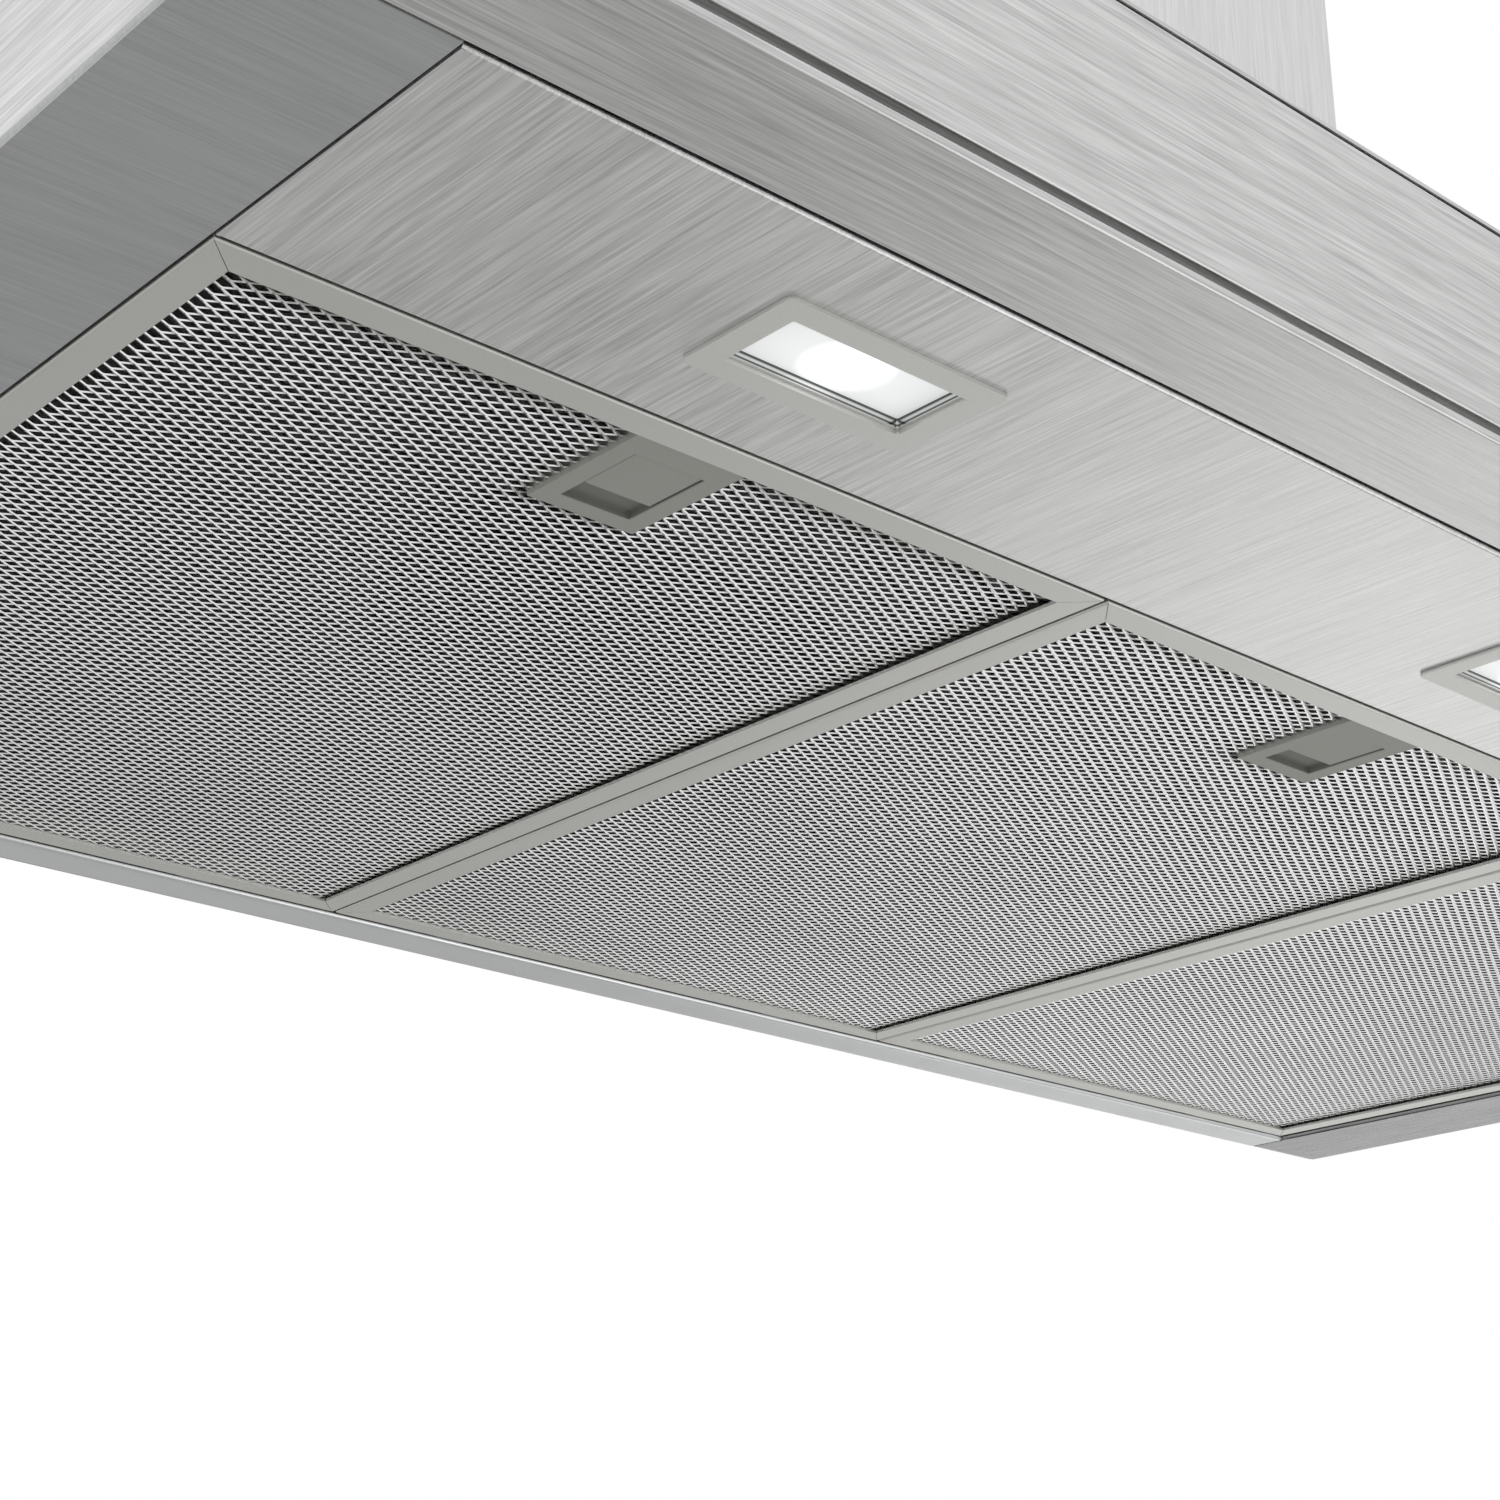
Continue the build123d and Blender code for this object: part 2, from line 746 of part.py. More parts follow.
def least_spring_gap():
    """Least clear gap between a spring's turns, measured on points along its middle line."""
    steps_per_turn = 24
    count = spring_turns * steps_per_turn
    points = [spring_path() @ (step / count) for step in range(count + 1)]
    apart = [(points[later] - points[first]).length
             for first in range(count + 1) for later in range(first + steps_per_turn // 2, count + 1)]
    return min(apart) - spring_wire


def latch_spring(index):
    """Coil spring behind a latch's tongue."""
    coil = spring_path()
    wire = sweep(Plane(origin=coil @ 0, z_dir=coil % 0) * Circle(spring_wire / 2), path=coil)
    z = underside + tongue_bottom + tongue_thickness / 2
    start = Plane(origin=(filter_x(index), tongue_rear() + spring_wire / 2, z), z_dir=(0, 1, 0))
    return start * wire


def button_bezel():
    """Frame of the push buttons, with a guide hole for each."""
    y = (-hood_depth - button_bezel_proud, -hood_depth)
    outline = Plane(origin=(0, y[1], button_z), x_dir=(1, 0, 0), z_dir=(0, -1, 0)) * SlotOverall(
        button_bezel_width, button_bezel_height)
    bezel = extrude(outline, amount=y[1] - y[0])
    body = (button_window_width - 2 * seat_gap, button_window_height - 2 * seat_gap)
    body_y = (-hood_depth - button_bezel_proud / 2, -hood_depth + bezel_body_depth)
    bezel += block(band(0, body[0]), body_y, band(button_z, body[1]))
    for index in range(len(button_names)):
        start = (button_x(index), y[0] - 1, button_z)
        bezel -= rod(start, (0, 1, 0), button_radius + button_clearance, bezel_body_depth + 4)
    return bezel


def push_button(index):
    """One push button with the collar that keeps it in the bezel."""
    start = (button_x(index), -hood_depth - button_proud, button_z)
    button = rod(start, (0, 1, 0), button_radius, button_length)
    button = fillet(button.faces().sort_by(Axis.Y)[0].edges(), button_edge)
    collar = (button_x(index), -hood_depth + bezel_body_depth + seat_gap, button_z)
    return button + rod(collar, (0, 1, 0), button_collar_radius, button_collar_thickness)


def switch_block():
    """Row of switches behind the buttons, on two legs from the rim's inner wall."""
    start = -hood_depth - button_proud + button_length + switch_gap
    y = (start, start + switch_block_depth)
    switches = block(band(0, switch_block_width), y, band(button_z, switch_block_height))
    for side in (-1, 1):
        leg_x = side * (switch_block_width - switch_leg) / 2
        switches += block(band(leg_x, switch_leg), (inner_wall_y + sheet, start + 1),
                          band(button_z, switch_block_height))
    return switches


def spiral_point(sweep_angle, inset):
    """Point of the blower's snail wall, as (Y, Z), after a sweep from its tongue."""
    growth = (scroll_end_radius - scroll_start_radius) * sweep_angle / scroll_sweep
    radius = scroll_start_radius + growth - inset
    angle = radians(scroll_start_angle - sweep_angle)
    return (case_y + radius * cos(angle), case_z + radius * sin(angle))


def scroll_outline(inset, top):
    """Snail outline with its straight neck, taken in by a wall."""
    points = [spiral_point(scroll_sweep * step / scroll_steps, inset) for step in range(scroll_steps + 1)]
    snail = Spline(*points)
    neck_corner = (neck_rear - inset, points[0][1] + 4)
    neck = Polyline(points[-1], (points[-1][0], top), (neck_corner[0], top), neck_corner, points[0])
    return make_face(snail + neck)


def blower_case(side):
    """One half of the blower's case, with its round inlet and half of the feet."""
    inner = case_half_width - case_wall
    plane = Plane(origin=(0, 0, 0), x_dir=(0, 1, 0), z_dir=(1, 0, 0))
    case = extrude(plane * scroll_outline(0, neck_top), amount=side * case_half_width)
    foot_y = (case_y - case_foot_half_depth, case_y + case_foot_half_depth)
    saddle_top = case_z - scroll_start_radius
    for x in (side * case_wall, side * (case_half_width - case_wall)):
        case += block(band(x, 2 * case_wall), foot_y, (case_foot_z, saddle_top))
    case += block(mirrored((0, case_half_width), side), foot_y, (case_foot_z, case_foot_z + case_foot_height))
    case -= extrude(plane * scroll_outline(case_wall, neck_top + 1), amount=side * inner)
    ring_start = (side * (case_half_width - case_wall), case_y, case_z)
    ring_radius = inlet_radius + inlet_ring_wall
    case += rod(ring_start, (side, 0, 0), ring_radius, case_wall + inlet_ring_length)
    case -= rod((side * inner / 2, case_y, case_z), (side, 0, 0), inlet_radius, case_half_width)
    for point in foot_screw_points():
        if point[0] * side > 0:
            case -= screw_hole(point, (0, 0, -1), case_foot_height + 1)
    return case


def impeller():
    """Double-inlet fan wheel: a hub with its disc, two end rings, and blades riveted between them."""
    disc = rod((-impeller_disc / 2, case_y, case_z), (1, 0, 0), impeller_radius, impeller_disc)
    disc += rod((hub_start, case_y, case_z), (1, 0, 0), hub_radius, hub_length)
    disc -= rod((-2 * hub_length, case_y, case_z), (1, 0, 0), shaft_radius, 3 * hub_length)
    pieces = [disc]
    for x in (-impeller_half_width, impeller_half_width - impeller_ring):
        pieces.append(ring((x, case_y, case_z), (1, 0, 0), impeller_radius, impeller_inner_radius,
                           impeller_ring))
    chord = impeller_radius - impeller_inner_radius - blade_end_gap
    middle = (impeller_radius + impeller_inner_radius) / 2
    start, end = impeller_disc / 2, impeller_half_width - impeller_ring
    for number in range(blade_count):
        turn = Rot(360 * number / blade_count, 0, 0)
        for side in (-1, 1):
            blade = Rot(blade_angle, 0, 0) * Box(end - start, chord, blade_thickness)
            pieces.append(Pos(side * (start + end) / 2, case_y, case_z) * turn * Pos(0, middle, 0) * blade)
    return Compound(children=pieces)


def motor_shaft():
    """Shaft from the impeller's hub to the motor's far end."""
    return rod((hub_start, case_y, case_z), (1, 0, 0), shaft_radius, motor_end - hub_start)


def motor():
    """Motor inside the right-hand side of the impeller, bored for its shaft."""
    body = rod((motor_start, case_y, case_z), (1, 0, 0), motor_radius, motor_end - motor_start)
    ends = body.edges().filter_by(GeomType.CIRCLE)
    body = fillet(ends, motor_rim)
    return body - rod((0, case_y, case_z), (1, 0, 0), shaft_radius + shaft_clearance, 2 * motor_end)


def bracket_angles():
    """Directions of the motor bracket's arms."""
    return [radians(90 + 120 * arm) for arm in range(3)]


def motor_bracket():
    """Ring on the motor's end with three arms to the rubber bushes."""
    bracket = ring((motor_end, case_y, case_z), (1, 0, 0), bracket_outer_radius, bracket_inner_radius,
                   bracket_thickness)
    reach = bush_ring_radius + bush_radius
    root = (bracket_inner_radius + bracket_outer_radius) / 2
    middle = (root + reach) / 2
    for angle in bracket_angles():
        arm = Box(bracket_thickness, reach - root, bracket_arm_width)
        place = Pos(motor_end + bracket_thickness / 2, case_y, case_z) * Rot(degrees(angle), 0, 0)
        bracket += place * Pos(0, middle, 0) * arm
    return bracket


def motor_bushes():
    """Rubber bushes between the case and the bracket's arms."""
    group = Part()
    for angle in bracket_angles():
        y = case_y + bush_ring_radius * cos(angle)
        z = case_z + bush_ring_radius * sin(angle)
        group += rod((case_half_width, y, z), (1, 0, 0), bush_radius, motor_end - case_half_width)
    return group


def motor_capacitor():
    """Starting capacitor on a pad on the front of the blower's neck."""
    y = neck_front - capacitor_pad - capacitor_radius
    z = neck_top - capacitor_length - capacitor_drop
    can = rod((0, y, z), (0, 0, 1), capacitor_radius, capacitor_length)
    can = fillet(can.edges().filter_by(GeomType.CIRCLE), capacitor_edge)
    pad_z = band(z + capacitor_length / 2, capacitor_radius)
    return can + block(band(0, capacitor_radius), (y, neck_front), pad_z)


def outlet_collar():
    """Round duct collar with its base plate, stop ring and pin holes for the flaps."""
    plate_x = case_half_width + collar_plate_margin
    plate_y = (neck_front - collar_plate_margin, neck_rear + collar_plate_margin)
    collar = block((-plate_x, plate_x), plate_y, (neck_top, neck_top + collar_plate))
    base = (0, collar_y, neck_top)
    collar += rod(base, (0, 0, 1), collar_radius, collar_height)
    bore = collar_radius - collar_wall
    collar -= rod((0, collar_y, neck_top - 1), (0, 0, 1), bore, collar_height + 2)
    stop_z = neck_top + flap_hinge_height - flap_thickness / 2 - seat_gap - stop_ring_thickness
    collar += ring((0, collar_y, stop_z), (0, 0, 1), bore + collar_wall / 2, bore - stop_ring_width,
                   stop_ring_thickness)
    for side in (-1, 1):
        start = (-collar_radius - 1, collar_y + side * flap_hinge_offset, neck_top + flap_hinge_height)
        collar -= rod(start, (1, 0, 0), flap_pin_radius + flap_pin_clearance, 2 * collar_radius + 2)
    return collar


def flap(side):
    """One half-round non-return flap with its hinge pin."""
    hinge_y = collar_y + side * flap_hinge_offset
    hinge_z = neck_top + flap_hinge_height
    disc = rod((0, collar_y, hinge_z - flap_thickness / 2), (0, 0, 1), flap_radius, flap_thickness)
    keep_y = sorted((hinge_y, hinge_y + side * 2 * flap_radius))
    half = disc & block(band(0, 3 * flap_radius), keep_y, band(hinge_z, 3 * flap_thickness))
    pin_half = collar_radius - collar_wall / 3
    return half + rod((-pin_half, hinge_y, hinge_z), (1, 0, 0), flap_pin_radius, 2 * pin_half)


def box_spans():
    """Outside of the electronics box on the rear wall."""
    return band(0, box_width), (-sheet - box_depth, -sheet), (box_bottom, box_bottom + box_height)


def gland_point():
    """Middle of the cable gland on the box's right-hand wall."""
    return (box_width / 2, -sheet - box_depth / 2, box_bottom + box_height / 2)


def cover_screw_points():
    """Places of the screws in the electronics cover."""
    x, y, z = box_spans()
    columns = band(0, box_width - 2 * box_post_inset)
    rows = band(sum(z) / 2, box_height - 2 * box_post_inset)
    return [(i, y[0] - box_wall, k) for i in columns for k in rows]


def electronics_box():
    """Plastic tray on the rear wall that holds the control board."""
    x, y, z = box_spans()
    tray = block(x, y, z)
    inside_x = band(0, box_width - 2 * box_wall)
    inside_z = band(sum(z) / 2, box_height - 2 * box_wall)
    tray -= block(inside_x, (y[0] - 1, y[1] - box_wall), inside_z)
    for point in cover_screw_points():
        tray += rod((point[0], y[0], point[2]), (0, 1, 0), box_post_radius, box_depth - box_wall / 2)
    face = y[1] - box_wall - board_standoff
    for i in band(0, board_size[0] - 2 * board_hole_inset):
        for k in band(sum(z) / 2, board_size[1] - 2 * board_hole_inset):
            tray += rod((i, face, k), (0, 1, 0), board_standoff_radius, board_standoff + box_wall / 2)
    for point in cover_screw_points():
        tray -= screw_hole(point, (0, 1, 0), cover_screw_length + box_wall)
    return tray - rod(gland_point(), (-1, 0, 0), gland_radius + seat_gap, box_wall + 1)


def electronics_cover():
    """Lid of the electronics box."""
    x, y, z = box_spans()
    cover = block(x, (y[0] - box_wall, y[0]), z)
    for point in cover_screw_points():
        cover -= screw_hole(point, (0, 1, 0), 2 * box_wall)
    return cover


def control_board():
    """Circuit board with its relays, transformer and terminal block."""
    x, y, z = box_spans()
    face = y[1] - box_wall - board_standoff
    front = face - board_thickness
    middle = sum(z) / 2
    board = block(band(0, board_size[0]), (front, face), band(middle, board_size[1]))
    for centre, (width, height, rise) in board_components:
        board += block(band(centre, width), (front - rise, face - board_thickness / 2), band(middle, height))
    return board


def cable_gland():
    """Bush where the mains lead goes into the electronics box."""
    point = gland_point()
    start = (point[0] - box_wall - gland_tail, point[1], point[2])
    length = gland_tail + box_wall + gland_nose
    gland = ring(start, (1, 0, 0), gland_radius, gland_bore, length)
    return gland + ring(point, (1, 0, 0), gland_flange_radius, gland_bore, gland_flange)


def chimney_cover(half, front, rear, z):
    """Upright cover open to the wall, with returns along its rear edges."""
    cover = block((-half, half), (front, rear), z)
    cover -= block((-half + sheet, half - sheet), (front + sheet, rear - sheet), (z[0] - 1, z[1] + 1))
    inner = half - chimney_return
    return cover - block((-inner, inner), (rear - 2 * sheet, rear + 1), (z[0] - 1, z[1] + 1))


def lower_chimney():
    """Chimney cover that stands on the canopy."""
    z = (canopy_top, canopy_top + lower_chimney_height)
    return chimney_cover(chimney_width / 2, -chimney_depth, 0, z)


def upper_chimney():
    """Chimney cover that slides inside the lower one, with vent slots near its top."""
    cover = chimney_cover(upper_half, upper_front, upper_rear, (upper_chimney_bottom, upper_chimney_top))
    middle_y = (upper_front + upper_rear) / 2
    for number in range(vent_count):
        z = upper_chimney_top - vent_top_margin - number * vent_pitch
        cover -= block((-upper_half - 1, upper_half + 1), band(middle_y, vent_width), band(z, vent_height))
    for point, direction in chimney_screw_points():
        cover -= screw_hole(point, direction, 2 * sheet)
    return cover


def chimney_screw_points():
    """Places of the screws that hold the upper chimney to its bracket."""
    y = upper_rear - sheet - bracket_setback - bracket_arm_depth + bracket_screw_inset
    return [((side * upper_half, y, chimney_screw_z), (-side, 0, 0)) for side in (-1, 1)]


def ceiling_bracket():
    """Strip on the wall at the chimney's top, with an arm along each side of the upper chimney."""
    z = band(chimney_screw_z, bracket_strip_height)
    strip = block(band(0, 2 * bracket_web_offset), (-bracket_sheet, 0), z)
    cross_y = upper_rear - sheet - bracket_setback
    arm_front = cross_y - bracket_arm_depth
    side_x = upper_half - sheet
    web_x = bracket_web_offset - bracket_sheet
    for side in (-1, 1):
        strip += block(mirrored((web_x, bracket_web_offset), side), (cross_y, 0), z)
        strip += block(mirrored((web_x, side_x), side), (cross_y - bracket_sheet, cross_y), z)
        strip += block(mirrored((side_x - bracket_sheet, side_x), side), (arm_front, cross_y), z)
        strip -= rod((side * bracket_bolt_offset, 1, chimney_screw_z), (0, -1, 0), bracket_bolt_radius,
                     bracket_sheet + 2)
    for point, direction in chimney_screw_points():
        strip -= screw_hole(point, direction, 3 * sheet + bracket_sheet)
    return strip


def chimney_screws():
    """Screws that hold the upper chimney to the ceiling bracket."""
    points = chimney_screw_points()
    return Part() + [screw(point, direction, sheet_screw_length) for point, direction in points]


def screws():
    """Screws of the lamp strip, the blower's feet and the electronics cover."""
    group = [screw(point, direction, sheet_screw_length) for point, direction in panel_screw_points()]
    group += [screw(point, (0, 0, -1), sheet_screw_length) for point in foot_screw_points()]
    group += [screw(point, (0, 1, 0), cover_screw_length) for point in cover_screw_points()]
    return Part() + group


def all_parts():
    """Every node by name."""
    parts = {
        "canopy_shell": canopy_shell(),
        "canopy_rim": canopy_rim(),
        "rear_wall": rear_wall(),
        "wall_plates": wall_plates(),
        "front_panel": front_panel(),
        "rear_strip": rear_strip(),
        "lamp_panel": lamp_panel(),
        "lamp_trims": lamp_trims(),
        "lamp_modules": lamp_modules(),
        "button_bezel": button_bezel(),
        "switch_block": switch_block(),
        "blower_case_left": blower_case(-1),
        "blower_case_right": blower_case(1),
        "impeller": impeller(),
        "motor_shaft": motor_shaft(),
        "motor": motor(),
        "motor_bracket": motor_bracket(),
        "motor_bushes": motor_bushes(),
        "motor_capacitor": motor_capacitor(),
        "outlet_collar": outlet_collar(),
        "flap_front": flap(-1),
        "flap_rear": flap(1),
        "electronics_box": electronics_box(),
        "electronics_cover": electronics_cover(),
        "control_board": control_board(),
        "cable_gland": cable_gland(),
        "lower_chimney": lower_chimney(),
        "upper_chimney": upper_chimney(),
        "ceiling_bracket": ceiling_bracket(),
        "chimney_screws": chimney_screws(),
        "screws": screws(),
    }
    for index, name in enumerate(filter_names):
        parts[f"filter_frame_{name}"] = filter_frame(index)
        parts[f"filter_mesh_{name}"] = filter_mesh(index)
        parts[f"filter_core_{name}"] = filter_core(index)
        parts[f"latch_housing_{name}"] = latch_housing(index)
        parts[f"latch_slider_{name}"] = latch_slider(index)
        parts[f"latch_spring_{name}"] = latch_spring(index)
        parts[f"lamp_bezel_{name}"] = lamp_bezel(index)
        parts[f"lamp_lens_{name}"] = lamp_lens(index)
    for index, name in enumerate(button_names):
        parts[f"button_{name}"] = push_button(index)
    return parts


os.makedirs("parts", exist_ok=True)
for node, solid in all_parts().items():
    export_step(solid, f"parts/{node}.step")
print(f"Least gap between a latch spring's turns: {least_spring_gap():.2f} mm")
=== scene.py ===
"""Finished pieces, light and camera for a wall-mounted chimney range hood, laid out as an add-on.

The packed frame gives every piece its place. Lengths are in metres, X runs along the wall, Y points at
the wall and Z points up. Pieces whose solids are right are copied and softened, and the filters' frames
and their expanded nets are modelled anew.
"""

import json
import math

import bpy
from bpy.props import FloatProperty, FloatVectorProperty, PointerProperty
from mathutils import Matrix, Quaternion, Vector

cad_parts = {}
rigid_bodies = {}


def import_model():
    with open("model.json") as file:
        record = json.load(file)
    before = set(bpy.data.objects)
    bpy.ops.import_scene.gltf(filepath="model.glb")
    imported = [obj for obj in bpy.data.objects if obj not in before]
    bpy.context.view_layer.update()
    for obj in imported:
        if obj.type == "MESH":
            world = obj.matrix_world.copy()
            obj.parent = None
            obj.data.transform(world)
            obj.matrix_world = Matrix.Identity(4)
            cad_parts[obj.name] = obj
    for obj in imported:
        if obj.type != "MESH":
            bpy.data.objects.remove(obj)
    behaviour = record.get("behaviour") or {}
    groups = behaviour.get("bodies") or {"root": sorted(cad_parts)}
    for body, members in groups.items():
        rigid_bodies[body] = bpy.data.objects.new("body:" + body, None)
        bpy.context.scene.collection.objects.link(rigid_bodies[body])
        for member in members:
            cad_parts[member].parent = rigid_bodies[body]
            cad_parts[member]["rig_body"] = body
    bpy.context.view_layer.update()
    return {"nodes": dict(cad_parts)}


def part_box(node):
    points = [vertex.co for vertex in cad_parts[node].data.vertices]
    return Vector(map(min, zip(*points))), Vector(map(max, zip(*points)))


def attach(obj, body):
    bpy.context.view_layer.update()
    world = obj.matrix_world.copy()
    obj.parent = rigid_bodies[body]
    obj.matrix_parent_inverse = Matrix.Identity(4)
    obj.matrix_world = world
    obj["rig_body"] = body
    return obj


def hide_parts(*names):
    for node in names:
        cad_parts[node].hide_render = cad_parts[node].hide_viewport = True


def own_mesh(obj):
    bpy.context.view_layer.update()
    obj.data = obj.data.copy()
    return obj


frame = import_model()

bl_info = {
    "name": "Chimney Range Hood",
    "version": (1, 0, 0),
    "blender": (4, 5, 0),
    "location": "View3D > Sidebar > Range Hood",
    "description": "Finished pieces, light and camera for a chimney range hood",
    "category": "Object",
}

FILTERS = ("left", "centre", "right")
BUTTONS = ("light", "off", "low", "medium", "high")
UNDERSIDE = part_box("lamp_panel")[0].z

HAIR = 0.0001  # shorter than any sheet is thick
TOUCHING = 0.00001  # points this close count as one
MERGED = 0.000004  # corners of a copied mesh are joined within this length
EVEN = math.radians(0.4)  # faces of a copied mesh that differ by less become one
SHARP = math.radians(32)  # edges beyond this angle are rounded
SMOOTH = math.radians(38)  # edges within this angle are shaded smooth
NET_SMOOTH = math.radians(35)  # the same, on a net
COIL_SMOOTH = math.radians(40)  # the same, on a spring
ASIDE = 0.4  # a face whose normal's X is beyond this looks to the side
DOWN = -0.9  # a face whose normal's Z is below this looks down

# Each light: its place, the point that it looks at, and its width and height.
LIGHTS = {
    "side": ((2.8, 1.4, -1.52), (2.8, 1.4, 0.0), (2.0, 1.6)),
    "edge": ((1.25, -1.2, -1.52), (1.25, -1.2, 0.0), (1.2, 1.2)),
    "front": ((-1.6, -3.0, 0.6), (0.0, -0.2, 0.0), (3.4, 3.4)),
    "top": ((0.8, -0.8, 3.0), (0.0, -0.2, 0.0), (3.0, 3.0)),
}


def colour_property(name, description, default):
    """A colour that a user may change."""
    return FloatVectorProperty(name=name, description=description, default=default, subtype="COLOR",
                               size=3, min=0.0, max=1.0)


def length_property(name, description, default):
    """A length that a user may change."""
    return FloatProperty(name=name, description=description, default=default, unit="LENGTH",
                         subtype="DISTANCE", precision=5)


def factor_property(name, description, default, most=1.0):
    """A strength from 0 to its most that a user may change."""
    return FloatProperty(name=name, description=description, default=default, min=0.0, max=most,
                         subtype="FACTOR")


def angle_property(name, description, degrees):
    """An angle that a user may change."""
    return FloatProperty(name=name, description=description, default=math.radians(degrees),
                         subtype="ANGLE", unit="ROTATION")


def place_property(name, description, default):
    """A place that a user may change."""
    return FloatVectorProperty(name=name, description=description, default=default, subtype="XYZ",
                               size=len(default))


def power_property(name, description, default):
    """A light's power that a user may change."""
    return FloatProperty(name=name, description=description, default=default, unit="POWER", min=0.0)


class SheetSettings(bpy.types.PropertyGroup):
    """Sheet metal of the canopy, the underside and the chimney."""

    steel: colour_property("Steel", "Colour of the brushed steel", (0.625, 0.625, 0.623))
    # Painted shade: the steel brushed along the hood is the same steel, painted darker for the weaker
    # reflection that its grain gives it.
    lengthwise: colour_property("Lengthwise steel", "Colour of the steel brushed along the hood",
                                (0.55, 0.55, 0.547))
    # Painted shade: both flanges are the same brushed steel as the rim, painted darker, the right one most,
    # for the darker reflections they show.
    flange: colour_property("Left flange", "Colour of the left flange's steel", (0.44, 0.445, 0.45))
    far_flange: colour_property("Right flange", "Colour of the right flange's steel", (0.33, 0.333, 0.335))
    strip: colour_property("Rear strip", "Colour of the smooth rear strip", (0.64, 0.65, 0.655))
    zinc: colour_property("Zinc", "Colour of the zinc-coated sheet inside", (0.50, 0.52, 0.53))
    # Flange faces below this height get the painted shade copies of the steel.
    flange_height: length_property("Flange height", "Height up to which a flange's steel is used", 0.0135)
    roughness: factor_property("Roughness", "Roughness of the brushed steel", 0.34)
    far_roughness: factor_property("Right roughness", "Roughness of the right flange", 0.28)
    grain: factor_property("Grain", "How strongly the brushed lines show", 1.1, 2.0)
    softening: length_property("Edge softening", "Width of the rounded sheet edges", 0.00025)


class FilterSettings(bpy.types.PropertyGroup):
    """Frames of the grease filters."""

    depth: length_property("Depth", "Depth of a filter from front to rear, without its hooks", 0.3592)
    rail: length_property("Rail", "Width of a frame's rail", 0.009)
    setback: length_property("Setback", "How far the rails' outer sides stand back", 0.00025)
    wall: length_property("Wall", "Thickness of a frame's sheet", 0.001)
    edge: length_property("Edge", "Rounding of a frame's lower outer edge", 0.0007)
    mitre: length_property("Mitre gap", "Gap between two rails at a corner", 0.00016)
    softening: length_property("Softening", "Width of the rounded edges", 0.00018)
    slot_width: length_property("Slot width", "Width of the slot for a latch's tongue", 0.0126)
    slot_height: length_property("Slot height", "Height of the slot for a latch's tongue", 0.0036)
    slot_bottom: length_property("Slot bottom", "Height of the slot above the underside", 0.0036)
    colour: colour_property("Frame", "Colour of the frames", (0.61, 0.61, 0.582))


class NetSettings(bpy.types.PropertyGroup):
    """Expanded metal nets of the grease filters."""

    long_pitch: length_property("Long pitch", "Length of a diamond along the hood", 0.0064)
    short_pitch: length_property("Short pitch", "Length of a diamond from front to rear", 0.0035)
    strand: length_property("Strand", "Width of a strand's face", 0.00110)
    thickness: length_property("Thickness", "Thickness of the net's sheet", 0.00040)
    bond: length_property("Bond", "Length over which two strands meet", 0.00045)
    overlap: factor_property("Overlap", "Part of a strand's width shared where two meet", 0.1, 0.9)
    tilt: angle_property("Tilt", "Angle by which the strands lean, like slats", 24)
    lift: length_property("Lift", "Height of the outer net's middle above the underside", 0.00200)
    tuck: length_property("Tuck", "How far a net reaches under its frame's rails", 0.003)
    core_long_pitch: length_property("Inner long pitch", "Length of an inner net's diamond", 0.0088)
    core_short_pitch: length_property("Inner short pitch", "Depth of an inner net's diamond", 0.0052)
    core_lift: length_property("Inner lift", "Height of the inner net above the underside", 0.0042)
    top_long_pitch: length_property("Top long pitch", "Length of the top net's diamond", 0.0112)
    top_short_pitch: length_property("Top short pitch", "Depth of the top net's diamond", 0.0064)
    top_lift: length_property("Top lift", "Height of the top net above the underside", 0.0076)
    latch_margin: length_property("Latch margin", "How far a net reaches into a latch's housing", 0.0003)
    roughness: factor_property("Roughness", "Roughness of the outer net", 0.22)
    colour: colour_property("Outer net", "Colour of the outer net", (0.83, 0.83, 0.83))
    # Painted shade: the inner nets are the same aluminium as the outer net, painted nearly black for the
    # shade inside the filter.
    core_shade_colour: colour_property("Inner nets", "Colour of the nets behind it", (0.07, 0.07, 0.07))


class PlasticSettings(bpy.types.PropertyGroup):
    """Latches, lamp bezels and the plastic pieces inside."""

    latch: colour_property("Latch", "Colour of the latches", (0.300, 0.300, 0.276))
    # Painted shade: the faces inside a latch's finger recess get this darker copy of the latch plastic, for
    # the shade in the deep pocket. The recess sizes below pick those faces.
    recess: colour_property("Latch recess", "Colour inside a latch's finger recess", (0.16, 0.162, 0.148))
    recess_half: length_property("Recess half width", "Half the width of a finger recess", 0.0106)
    recess_rear: length_property("Recess rear", "From a latch's rear end to its recess", 0.0056)
    recess_front: length_property("Recess front", "From a latch's rear end to its recess's front", 0.0340)
    recess_start: length_property("Recess start", "Height at which a finger recess gets its colour", 0.0003)
    recess_depth: length_property("Recess depth", "Depth of a finger recess", 0.0021)
    latch_travel: length_property("Latch travel", "How far a latch's slider goes back", 0.0075)
    bezel: colour_property("Lamp bezel", "Colour of the lamp bezels", (0.64, 0.64, 0.615))
    dark: colour_property("Dark plastic", "Colour of the black plastic pieces", (0.030, 0.031, 0.033))
    pale: colour_property("Pale plastic", "Colour of the capacitor's case", (0.72, 0.72, 0.69))
    softening: length_property("Softening", "Width of the rounded plastic edges", 0.0003)


